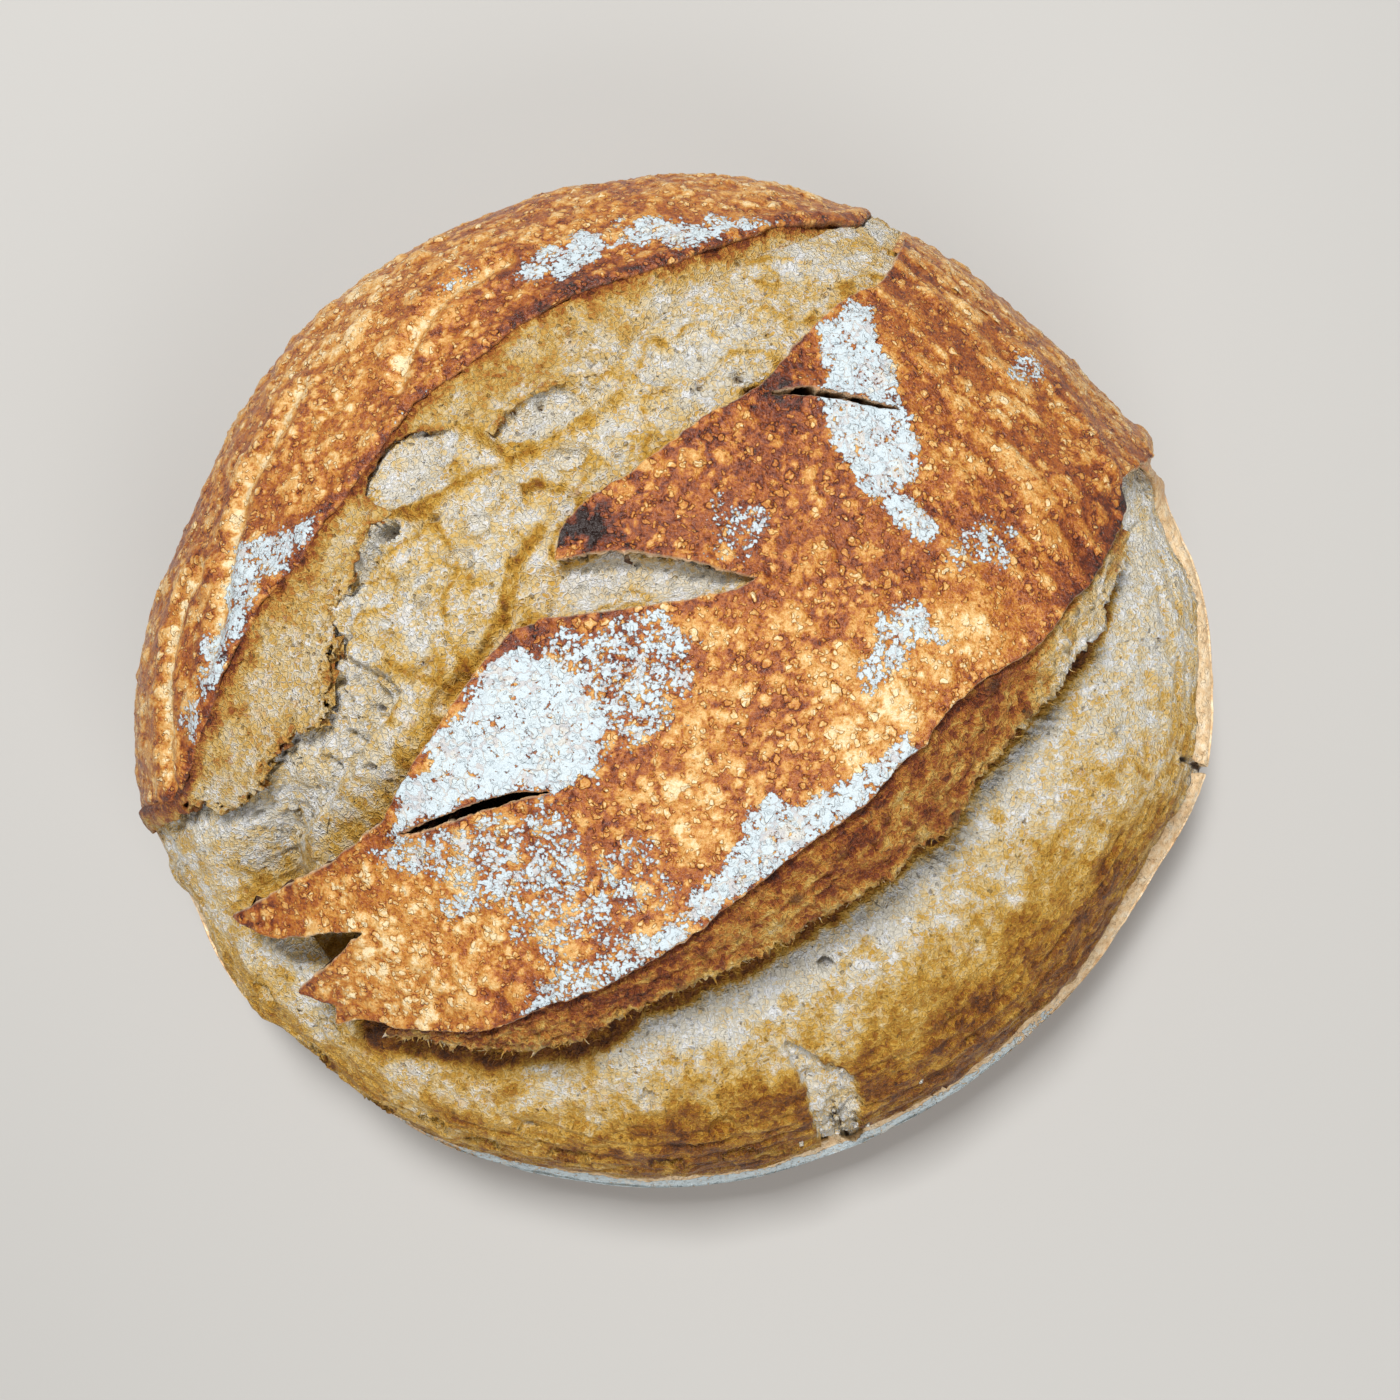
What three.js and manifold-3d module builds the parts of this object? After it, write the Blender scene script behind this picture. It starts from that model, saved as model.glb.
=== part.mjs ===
// A round sourdough loaf, baked on its flat base. The dough split along two long curved cuts as it rose:
// the crust plate on top broke loose with a raised ear along its lower right side, and pale crumb bulged out
// on both sides of it. The loaf is one solid: a crumb body, with the crust that stands proud of it joined on
// and the leaf cuts taken out.
// Millimetres, +Z up, the loaf standing on z = 0 round the middle of its outline. +X is to the right of the
// ear's upper end, and angles run from +X towards +Y.

import * as THREE from 'three';
import { mergeVertices } from 'three/addons/utils/BufferGeometryUtils.js';
import Module from 'manifold-3d';

const wasm = await Module();
wasm.setup();

// Driving dimensions
const HEIGHT = 94; // table to the crown of the crust
const BASE_SHARE = 0.74; // flat base's radius as a share of the outline's
const CRUST_STEP = 3; // crust's height over the crumb at its torn edges
const EAR_LIFT = 3; // how far the ear curls up over the crust's own dome
const EAR_REACH = 14; // width of the strip that curls
const PLATE_DEPTH = 13; // thickness of the loose crust plate with the crumb that came up with it
const CREASE_SHARE = 0.14; // width of the furrow under the ear as a share of the lower band
const RIM_LIP = 1.4; // how far the rim's crust stands proud of the lower band
const SKIN = 0.5; // how far the crust stands proud of the outline, and its foot runs into the base
const CRUMB_INSET = 1.5; // how far the crumb lies inside the outline where crust covers it
const SPACING = 6; // along torn edges

// Outline of the loaf seen from above: angle, radius and height of its widest line.
const OUTLINE = [
  [0, 115.6, 30], [12, 115.3, 30], [20, 113, 31], [27, 113.5, 33], [33, 110.5, 33], [48, 108, 33],
  [63, 108, 34], [85, 108.7, 35], [110, 107.7, 36], [132, 109, 36], [146, 109, 35], [158, 109, 34],
  [170, 112, 33], [180, 115.2, 32], [192, 116, 31], [203, 114.5, 30], [215, 115, 29], [226, 111, 27],
  [240, 111.5, 27], [255, 109.7, 26], [271, 108.4, 26], [292, 106.5, 26], [310, 106.8, 26],
  [325, 108.5, 27], [338, 110.5, 28], [350, 115.5, 29],
];

// Lower band of crumb: angle, radius of the furrow under the ear, height of the crest beside it and the
// furrow's depth below that crest.
const LOWER_BAND = [
  [8, 60, 64, 11], [16, 77, 59, 9], [26, 88, 53, 5], [60, 76, 60, 0], [130, 50, 66, 0], [190, 74, 60, 0],
  [205, 84, 55, 2], [213, 84, 55, 8], [220, 84, 55, 8], [228, 80, 57, 9], [240, 66, 61, 12],
  [255, 50, 65, 12], [272, 40, 67, 12], [292, 33, 68, 12], [314, 31, 68, 12], [332, 35, 68, 12],
  [348, 41, 68, 12], [358, 49, 66, 12],
];

// Torn edges of the crust, x and y
const PLATE_UPPER_EDGE = [
  [-86, -44], [-79, -40.5], [-72, -36.5], [-66, -33.5], [-60, -29.5], [-53, -24], [-49, -17.5],
  [-44, -10], [-38.5, -2], [-33, 5.5], [-28, 10.5], [-24, 15], [-21.5, 23], [-20, 28], [-14.5, 34],
  [-6, 39.5], [4.5, 48], [15.5, 55], [23, 64], [27, 68.5], [33.5, 74.5], [39.5, 78], [45, 88], [49, 100],
];
const PLATE_RIGHT_SIDE = [[60, 130], [130, 90], [120, 52]];
const EAR_LIP = [
  [101, 50], [92, 45], [86, 41], [86.5, 37], [85.5, 33], [81.5, 26], [77.5, 20.5], [72, 15.5],
  [67.5, 9.5], [60.5, 4.5], [55, 1.5], [48.5, -4], [44.5, -9.5], [40, -13], [35, -19], [25.5, -26],
  [14.5, -34.5], [5, -42], [-0.5, -46], [-11.5, -52.5], [-21, -56.5], [-32, -61.5], [-38, -63],
  [-45.5, -63.5], [-54, -63.5], [-60, -62.5], [-65.5, -64.5],
];
const TONGUES = [
  [-65, -60.5], [-68.5, -60], [-73, -58.5], [-69, -55], [-64.5, -51.5], [-60.5, -47.5], [-57, -45],
  [-59, -44.5], [-71, -46.5], [-77, -47.5], [-83, -46],
];
const CRESCENT_RIDGE = [
  [37, 94], [21, 91], [13.5, 87.5], [2.5, 82.5], [-10, 77.5], [-18, 74.5], [-29, 68], [-37, 61.5],
  [-45.5, 55.5], [-50.5, 50.5], [-55.5, 43.5], [-61, 36.5], [-66.5, 30], [-70, 24], [-77, 17.5],
  [-82.5, 8.5], [-87, 0], [-92, -9], [-95, -21], [-102, -26], [-105, -34], [-106, -42],
];
const CRESCENT_OUTSIDE = [[-125, -46], [-135, 40], [-90, 120], [0, 135], [50, 118], [41, 100]];

// Ragged face torn open under the ear: the strip from the ear's lip to this outer edge, from right to left
const EAR_FACE_EDGE = [
  [86.5, 26], [82.5, 19.5], [80, 11.5], [75.5, 7], [71.5, 1], [66, -4], [60, -11], [55, -17],
  [50, -24.5], [43.5, -29], [39, -33.5], [31, -38], [21.5, -44.5], [12, -49.5], [4, -52], [-0.5, -55],
  [-9.5, -59], [-14.5, -63], [-22, -65.5], [-31.5, -67.5],
];
const EAR_FACE_FROM = 5; // the lip's points beside that strip
const EAR_FACE_TO = 21;

// Leaf cuts: the two ends, the widest opening, its shift to one side and the depth
const LEAF_CUTS = [
  { from: [-52, -26.5], to: [-18, -17.5], width: 2.6, bow: 1.5, depth: 5 },
  { from: [-24, 19], to: [15.5, 19.5], width: 11, bow: 0.8, depth: 6 },
  { from: [15, 54.5], to: [43.5, 50.5], width: 2.4, bow: 2, depth: 5 },
];

// Bubbles torn open in the crumb: middle, half lengths, turn in degrees and how far the middle lies below
// the crumb's surface
const POCKETS = [
  { at: [-30, 51], half: [12, 4, 4], turn: 24, sunk: 0 },
  { at: [-51, 41], half: [9, 11, 5], turn: 30, sunk: -2 },
  { at: [-56, 28], half: [4.5, 3, 6], turn: 30, sunk: 1 },
  { at: [-24, 45], half: [5, 3.5, 4], turn: 20, sunk: 0 },
  { at: [-59, 2], half: [8, 10, 5], turn: -30, sunk: -1 },
  { at: [-76, -22], half: [13, 7, 6], turn: -15, sunk: -1 },
  { at: [-69, -47], half: [12, 6, 6], turn: 0, sunk: 2 },
  { at: [22, -51], half: [2.2, 1.5, 3], turn: -30, sunk: 0 },
  { at: [27, -92], half: [3.5, 6, 5], turn: 10, sunk: 0 },
];

const RINGS_AROUND = 84;

// Smooth value at an angle, from rows that each start with their own angle
function atAngle(rows, column, angle) {
  const turn = ((angle % 360) + 360) % 360;
  const count = rows.length;
  const row = (i) => rows[((i % count) + count) % count];
  const angleOf = (i) => row(i)[0] + 360 * Math.floor(i / count);
  let i = rows.findIndex((r) => r[0] > turn);
  i = (i < 0 ? count : i) - 1;
  const slope = (k) => (row(k + 1)[column] - row(k - 1)[column]) / (angleOf(k + 1) - angleOf(k - 1));
  const span = angleOf(i + 1) - angleOf(i);
  const t = (turn - angleOf(i)) / span;
  const keep = (1 + 2 * t) * (1 - t) * (1 - t);
  return keep * row(i)[column] + (1 - keep) * row(i + 1)[column]
    + span * t * (1 - t) * ((1 - t) * slope(i) - t * slope(i + 1));
}

const smooth = (low, high, x) => THREE.MathUtils.smoothstep(x, low, high);
const mix = THREE.MathUtils.lerp;
const degrees = (x, y) => THREE.MathUtils.radToDeg(Math.atan2(y, x));

function pointAt(angle, radius) {
  const turn = THREE.MathUtils.degToRad(angle);
  return [radius * Math.cos(turn), radius * Math.sin(turn)];
}

// Smooth line through hand-set points, at an even spacing
function smoothLine(points) {
  const curve = new THREE.SplineCurve(points.map(([x, y]) => new THREE.Vector2(x, y)));
  return curve.getSpacedPoints(Math.ceil(curve.getLength() / SPACING)).map((point) => point.toArray());
}

// Slight waviness of the baked surface
function waviness(x, y) {
  return 0.5 * Math.sin(x / 11 + y / 17) + 0.4 * Math.sin(y / 9 - x / 23 + 1.3) + 0.3 * Math.sin(x / 6.5 + 2.1);
}

// Height of the crust's dome at a share of the way from the middle to the outline
function domeHeight(angle, share) {
  const widest = atAngle(OUTLINE, 2, angle);
  return widest + (HEIGHT - widest) * Math.sqrt(Math.max(0, 1 - share * share));
}

function domeAt([x, y]) {
  const angle = degrees(x, y);
  return domeHeight(angle, Math.min(1, Math.hypot(x, y) / atAngle(OUTLINE, 1, angle)));
}

function distanceToLine([x, y], line) {
  const point = new THREE.Vector3(x, y, 0);
  const near = new THREE.Vector3();
  let least = Infinity;
  for (let i = 1; i < line.length; i += 1) {
    const piece = new THREE.Line3(new THREE.Vector3(...line[i - 1], 0), new THREE.Vector3(...line[i], 0));
    piece.closestPointToPoint(point, true, near);
    least = Math.min(least, near.distanceTo(point));
  }
  return least;
}

// The lower band lies on the right of the ear, from the loaf's left end round the front to the right.
function lowerShare(angle) {
  const turn = (angle + 360) % 360;
  return turn > 100 ? smooth(190, 208, turn) : 1 - smooth(16, 30, turn);
}

// Surface of the crumb over a point, which the crust covers where it is whole
function crumbHeight(angle, radius) {
  const edge = atAngle(OUTLINE, 1, angle);
  const share = Math.min(1, radius / edge);
  const covered = domeHeight(angle, share) - CRUST_STEP * (1 - share ** 8);
  const furrow = atAngle(LOWER_BAND, 1, angle);
  const widest = atAngle(OUTLINE, 2, angle);
  const crest = atAngle(LOWER_BAND, 2, angle);
  const across = (radius - furrow) / (edge - furrow);
  const fall = 1 - smooth(0, CREASE_SHARE, Math.abs(across));
  const bulge = across > 0
    ? widest + (crest - widest) * Math.sqrt(Math.max(0, 1 - across ** 2.4))
    : mix(crest, covered - PLATE_DEPTH / 2, smooth(0, 0.25, -across));
  const torn = bulge - atAngle(LOWER_BAND, 3, angle) * fall - RIM_LIP * smooth(0.85, 0.96, across) * (across < 1);
  return mix(covered, torn, lowerShare(angle));
}

// Closed surface of rings, from a pole on top to a pole underneath. section(angle) gives each ring's radius
// and height at that angle, the two poles left out.
function ringed(section, top, bottom) {
  const positions = [0, 0, top];
  let rings = 0;
  for (let i = 0; i < RINGS_AROUND; i += 1) {
    const angle = (360 * i) / RINGS_AROUND;
    const points = section(angle);
    rings = points.length;
    for (const [radius, height] of points) positions.push(...pointAt(angle, radius), height);
  }
  positions.push(0, 0, bottom);
  const last = positions.length / 3 - 1;
  const at = (i, j) => 1 + (i % RINGS_AROUND) * rings + j;
  const faces = [];
  for (let i = 0; i < RINGS_AROUND; i += 1) {
    faces.push(0, at(i, 0), at(i + 1, 0));
    for (let j = 0; j + 1 < rings; j += 1) {
      faces.push(at(i, j), at(i, j + 1), at(i + 1, j + 1), at(i, j), at(i + 1, j + 1), at(i + 1, j));
    }
    faces.push(at(i, rings - 1), last, at(i + 1, rings - 1));
  }
  const geometry = new THREE.BufferGeometry();
  geometry.setAttribute('position', new THREE.Float32BufferAttribute(positions, 3));
  geometry.setIndex(faces);
  return geometry;
}

function solid(geometry) {
  const bare = geometry.clone();
  bare.deleteAttribute('normal');
  bare.deleteAttribute('uv');
  const merged = mergeVertices(bare, 1e-4);
  return new wasm.Manifold(new wasm.Mesh({
    numProp: 3,
    vertProperties: new Float32Array(merged.attributes.position.array),
    triVerts: new Uint32Array(merged.index.array),
  }));
}

// Upright block over an outline
function block(outline, low, high) {
  const shape = new THREE.Shape(outline.map(([x, y]) => new THREE.Vector2(x, y)));
  const geometry = new THREE.ExtrudeGeometry(shape, { depth: high - low, bevelEnabled: false });
  return solid(geometry.translate(0, 0, low));
}

// Lower body: from the widest line round the turn of the base to the flat it stands on
function baseRings(angle, edge, foot, steps) {
  const widest = atAngle(OUTLINE, 2, angle);
  const points = [];
  for (let k = 1; k <= steps; k += 1) {
    const turn = (Math.PI / 2) * (k / steps);
    const share = BASE_SHARE + (1 - BASE_SHARE) * Math.cos(turn);
    points.push([edge * share, foot + (widest - foot) * (1 - Math.sin(turn))]);
  }
  points.push([edge * BASE_SHARE * 0.5, foot]);
  return points;
}

// The whole loaf inside its crust, with the torn bands as they bulge
function crumbBody() {
  const inner = 5;
  const outer = 16;
  return ringed((angle) => {
    const edge = atAngle(OUTLINE, 1, angle) - CRUMB_INSET * (1 - lowerShare(angle));
    const furrow = atAngle(LOWER_BAND, 1, angle);
    const radii = [];
    for (let k = 1; k <= inner; k += 1) radii.push(furrow * (k / inner));
    for (let k = 1; k < outer; k += 1) {
      radii.push(furrow + (edge - furrow) * Math.sin((Math.PI / 2) * (k / outer)));
    }
    const points = radii.map((radius) => {
      const fade = 1 - (radius / edge) ** 6;
      return [radius, crumbHeight(angle, radius) + waviness(...pointAt(angle, radius)) * fade];
    });
    points.push([edge, atAngle(OUTLINE, 2, angle)]);
    return points.concat(baseRings(angle, edge, 0, 5));
  }, HEIGHT - CRUST_STEP - PLATE_DEPTH / 2, 0);
}

// Crust's dome, curled up along the ear, at a given depth inside the outside of the loaf
function crustDome(depth) {
  const levels = 17;
  return ringed((angle) => {
    const edge = atAngle(OUTLINE, 1, angle);
    const points = [];
    for (let k = 1; k <= levels; k += 1) {
      const turn = (Math.PI / 2) * (k / levels);
      const share = Math.sin(turn);
      const point = pointAt(angle, edge * share);
      const lift = EAR_LIFT * Math.exp(-((distanceToLine(point, EAR_LIP) / EAR_REACH) ** 2));
      const height = domeHeight(angle, share) + (lift + waviness(...point) - depth) * Math.cos(turn);
      points.push([(edge + SKIN - depth) * share, height]);
    }
    return points.concat(baseRings(angle, edge - depth, SKIN + depth, 4));
  }, HEIGHT - depth, SKIN + depth);
}

// Strip of torn crumb between the ear's lip and the ragged edge below it
function earFace() {
  const lip = new THREE.SplineCurve(
    EAR_LIP.slice(EAR_FACE_FROM, EAR_FACE_TO + 1).map(([x, y]) => new THREE.Vector2(x, y)),
  );
  const edge = new THREE.SplineCurve(EAR_FACE_EDGE.map(([x, y]) => new THREE.Vector2(x, y)));
  const stations = 36;
  const positions = [];
  for (let k = 0; k <= stations; k += 1) {
    const inner = lip.getPointAt(k / stations);
    const outer = edge.getPointAt(k / stations);
    const away = outer.clone().sub(inner);
    const taper = Math.min(1, 6 * Math.min(k, stations - k) / stations + 0.25);
    const outward = away.clone().normalize();
    const top = domeAt([inner.x, inner.y]);
    const low = mix(top - 4, domeAt([outer.x, outer.y]) - 4, 0.9);
    const at = (along, height) => positions.push(
      inner.x + outward.x * along, inner.y + outward.y * along, height,
    );
    const width = away.length();
    at(-6, top - 2);
    at(-0.5, top - 1);
    at(width * taper, low);
    at(width * taper - 1.5, low - 3);
    at(-1, top - PLATE_DEPTH);
    at(-6, top - PLATE_DEPTH);
  }
  const sides = 6;
  const faces = [];
  for (let k = 0; k < stations; k += 1) {
    for (let j = 0; j < sides; j += 1) {
      const [a, b] = [k * sides + j, k * sides + ((j + 1) % sides)];
      faces.push(a, a + sides, b, b, a + sides, b + sides);
    }
  }
  const end = stations * sides;
  for (let j = 1; j + 1 < sides; j += 1) faces.push(0, j, j + 1, end, end + j + 1, end + j);
  const geometry = new THREE.BufferGeometry();
  geometry.setAttribute('position', new THREE.Float32BufferAttribute(positions, 3));
  geometry.setIndex(faces);
  return solid(geometry);
}

// Blade-shaped cut straight down, widest in the middle
function leafCut({ from, to, width, bow, depth }) {
  const [start, end] = [new THREE.Vector2(...from), new THREE.Vector2(...to)];
  const along = end.clone().sub(start);
  const across = new THREE.Vector2(-along.y, along.x).normalize();
  const steps = 10;
  const side = (half) => (_, k) => {
    const t = k / steps;
    const offset = Math.sin(Math.PI * t) * (half + bow);
    return start.clone().addScaledVector(along, t).addScaledVector(across, offset).toArray();
  };
  const upper = Array.from({ length: steps + 1 }, side(width / 2));
  const lower = Array.from({ length: steps + 1 }, side(-width / 2));
  const outline = lower.concat(upper.slice(1, -1).reverse());
  const middle = domeAt(start.add(end).multiplyScalar(0.5).toArray());
  return block(outline, middle - depth - 3, HEIGHT + 10);
}

function pocket({ at, half, turn, sunk }) {
  const geometry = new THREE.SphereGeometry(1, 12, 8);
  geometry.scale(...half).rotateZ(THREE.MathUtils.degToRad(turn));
  const [x, y] = at;
  const height = crumbHeight(degrees(x, y), Math.hypot(x, y)) - sunk;
  return solid(geometry.translate(x, y, height));
}

const plateOutline = [
  ...smoothLine(PLATE_UPPER_EDGE), ...PLATE_RIGHT_SIDE, ...smoothLine(EAR_LIP), ...TONGUES,
];
const crescentOutline = [...smoothLine(CRESCENT_RIDGE), ...CRESCENT_OUTSIDE];
const dome = solid(crustDome(0));
const platePiece = dome.subtract(solid(crustDome(PLATE_DEPTH))).intersect(block(plateOutline, -1, HEIGHT + 10));
const crescentPiece = dome.intersect(block(crescentOutline, -1, HEIGHT + 10));

let loaf = POCKETS.reduce((body, hole) => body.subtract(pocket(hole)), solid(crumbBody()));
loaf = loaf.add(platePiece).add(crescentPiece).add(earFace());
loaf = LEAF_CUTS.reduce((body, cut) => body.subtract(leafCut(cut)), loaf);

// Keeps the loaf itself and drops any crumb that a cut set loose
const whole = loaf.decompose().sort((a, b) => b.volume() - a.volume())[0].getMesh();
const geometry = new THREE.BufferGeometry();
geometry.setAttribute('position', new THREE.BufferAttribute(whole.vertProperties, 3));
geometry.setIndex(new THREE.BufferAttribute(whole.triVerts, 1));
geometry.computeVertexNormals();

const crust = new THREE.MeshStandardMaterial({ color: 0xb8722c, roughness: 0.75, metalness: 0 });
const mesh = new THREE.Mesh(geometry, crust);
mesh.name = 'loaf';

const group = new THREE.Group();
group.add(mesh);
export default group;
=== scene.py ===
import itertools
import math

import bpy
import numpy as np
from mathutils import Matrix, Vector


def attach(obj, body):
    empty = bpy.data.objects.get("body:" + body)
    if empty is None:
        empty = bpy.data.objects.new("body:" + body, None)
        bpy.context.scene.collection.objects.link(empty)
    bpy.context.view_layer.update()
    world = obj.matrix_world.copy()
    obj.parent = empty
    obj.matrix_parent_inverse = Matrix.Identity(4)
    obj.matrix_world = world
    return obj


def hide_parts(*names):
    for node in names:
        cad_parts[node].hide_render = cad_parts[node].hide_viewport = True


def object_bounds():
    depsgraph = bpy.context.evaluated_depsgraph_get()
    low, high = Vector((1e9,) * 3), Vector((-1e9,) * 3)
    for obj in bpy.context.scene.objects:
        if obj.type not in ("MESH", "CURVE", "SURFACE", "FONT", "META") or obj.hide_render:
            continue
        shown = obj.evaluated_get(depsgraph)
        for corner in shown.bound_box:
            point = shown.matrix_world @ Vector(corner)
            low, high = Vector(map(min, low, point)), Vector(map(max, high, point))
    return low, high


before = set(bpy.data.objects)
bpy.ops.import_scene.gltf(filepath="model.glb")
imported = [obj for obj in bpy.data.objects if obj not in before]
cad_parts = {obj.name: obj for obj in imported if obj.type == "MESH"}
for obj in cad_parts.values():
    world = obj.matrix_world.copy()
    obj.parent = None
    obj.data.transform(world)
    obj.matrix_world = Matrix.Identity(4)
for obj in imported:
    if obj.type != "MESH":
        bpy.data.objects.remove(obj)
CAD_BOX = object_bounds()

# ---------------------------------------------------------------------------------------------------------
# Torn crumb. Where the crust split, the dough kept rising and its soft inside shows: cream at the bottom of
# the tears and golden where it baked, drawn into fibres and full of open bubbles. One crumb, in three
# pieces: the band above the crust plate and the two halves of the band below the ear.

# Lengths are in millimetres for a loaf DRAWN_WIDTH wide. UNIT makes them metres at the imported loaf's width.
DRAWN_WIDTH = 231.56
UNIT = (CAD_BOX[1].x - CAD_BOX[0].x) / DRAWN_WIDTH
HEIGHT = 94.0
OUTLINE = [  # angle, radius, height of the widest line
    (0, 115.6, 30), (12, 115.3, 30), (20, 113, 31), (27, 113.5, 33), (33, 110.5, 33), (48, 108, 33),
    (63, 108, 34), (85, 108.7, 35), (110, 107.7, 36), (132, 109, 36), (146, 109, 35), (158, 109, 34),
    (170, 112, 33), (180, 115.2, 32), (192, 116, 31), (203, 114.5, 30), (215, 115, 29), (226, 111, 27),
    (240, 111.5, 27), (255, 109.7, 26), (271, 108.4, 26), (292, 106.5, 26), (310, 106.8, 26),
    (325, 108.5, 27), (338, 110.5, 28), (350, 115.5, 29),
]
EAR_LIP = [
    (101, 50), (92, 45), (86, 41), (86.5, 37), (85.5, 33), (81.5, 26), (77.5, 20.5), (72, 15.5),
    (67.5, 9.5), (60.5, 4.5), (55, 1.5), (48.5, -4), (44.5, -9.5), (40, -13), (35, -19), (25.5, -26),
    (14.5, -34.5), (5, -42), (-0.5, -46), (-11.5, -52.5), (-21, -56.5), (-32, -61.5), (-38, -63),
    (-45.5, -63.5), (-54, -63.5), (-60, -62.5), (-65.5, -64.5),
]
CRUST_STEP = 3.0
PLATE_DEPTH = 13.0
MEAN_RADIUS = 95  # where lengths around the loaf are measured
CREASE_SHARE = 0.14
RIM_WIDTH = [  # angle, how far in from the widest line the torn rim reaches
    (20, 5), (10, 4.4), (0, 5.0), (-6, 5.0), (-12, 5.2), (-25, 4.2), (-45, 3.8), (-62, 4.0), (-80, 4.2),
    (-100, 4.0), (-120, 2.8), (-135, 1.6), (-150, 2.4), (-160, 3.5),
]
RIM_RISE = 3.0
LOWER_BAND = [  # angle, radius of the furrow, height of the crest beside it, depth of the furrow
    (8, 60, 64, 11), (16, 77, 59, 9), (26, 88, 53, 5), (60, 76, 60, 0), (130, 50, 66, 0),
    (190, 74, 60, 0), (205, 84, 55, 2), (213, 84, 55, 8), (220, 84, 55, 8), (228, 80, 57, 9),
    (240, 66, 61, 12), (255, 50, 65, 12), (272, 40, 67, 12), (292, 33, 68, 12), (314, 31, 68, 12),
    (332, 35, 68, 12), (348, 41, 68, 12), (358, 49, 66, 12),
]
PLATE_UPPER_EDGE = [
    (-86, -44), (-79, -40.5), (-72, -36.5), (-66, -33.5), (-60, -29.5), (-53, -24), (-49, -17.5),
    (-44, -10), (-38.5, -2), (-33, 5.5), (-28, 10.5), (-23.5, 12.5), (-21, 23), (-20, 28), (-14.5, 34),
    (-6, 39.5), (4.5, 48), (15.5, 55), (23, 64), (27, 68.5), (33.5, 74.5), (39.5, 78), (45, 88), (49, 100),
]
PLATE_RIGHT_SIDE = [(60, 130), (130, 90), (120, 52)]
TONGUES = [
    (-65, -60.5), (-68.5, -60), (-73, -58.5), (-69, -55), (-64.5, -51.5), (-60.5, -47.5), (-57, -45),
    (-59, -44.5), (-71, -46.5), (-77, -47.5), (-83, -46),
]
CRESCENT_RIDGE = [
    (37, 94), (21, 91), (13.5, 87.5), (2.5, 82.5), (-10, 77.5), (-18, 74.5), (-29, 68), (-37, 61.5),
    (-45.5, 55.5), (-50.5, 50.5), (-55.5, 43.5), (-61, 36.5), (-66.5, 30), (-70, 24), (-77, 17.5),
    (-82.5, 8.5), (-87, 0), (-91.5, -9), (-95, -17), (-99, -21.5), (-108, -24), (-118, -26.5),
]
CRESCENT_OUTSIDE = [(-130, -30), (-135, 40), (-90, 120), (0, 135), (50, 118), (41, 100)]
SKIN_EDGE = [  # edge of the golden skin, torn where it stands over the deep pockets
    (-114, -31), (-101, -26), (-95.5, -22.5), (-91.4, -21.3), (-88.5, -23.0), (-85.4, -22.2),
    (-83.1, -20.9), (-80.1, -19.0), (-77.9, -16.6), (-76.4, -13.6), (-74.0, -10.6), (-73.0, -8.3),
    (-69.7, -7.4), (-66.5, -5.9), (-63.9, -3.0), (-64.9, -0.8), (-64.6, 2.1), (-64.9, 4.4),
    (-64.0, 7.3), (-62.8, 9.0), (-63.9, 13.1), (-62.8, 16.7), (-60.4, 18.5), (-59.4, 21.9),
    (-58.2, 25.1), (-57, 28), (-56.1, 30.4), (-53.4, 31.4), (-51.6, 32.6), (-55, 34), (-57.1, 36.2),
    (-56.5, 38.1), (-53.9, 42.6), (-51.4, 45.8), (-46.0, 47.6), (-40.7, 48.0), (-37, 48.5), (-33, 46.5),
    (-32, 49.8), (-27.9, 52.7), (-22.8, 54.9), (-17.7, 56.8), (-11, 58.5), (-5, 65), (3, 72), (14, 80),
    (28, 88), (37, 94),
]
SKIN_TORN = [(-63, 17), (-64.5, 3), (-65, -5), (-75, -10), (-82, -20), (-92, -22)]
FOLDS = [  # lines of dough drawn up between tears
    [(-42, -1.5), (-36, 5), (-32, 11.3), (-30.2, 15.0), (-28.9, 18.8), (-27.1, 24.4), (-24, 29)],
    [(-51.4, 32.6), (-47.4, 33.4), (-42.2, 35.5), (-36.4, 39.2), (-32.6, 40.4), (-26, 41.5)],
    [(-39.6, 49), (-36.1, 46.4), (-32.7, 44.4), (-27.6, 43.6), (-22.5, 45), (-15.2, 48.9), (-10, 53)],
    [(-31, 33), (-27, 36.5), (-20, 37.6)],
]
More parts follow.
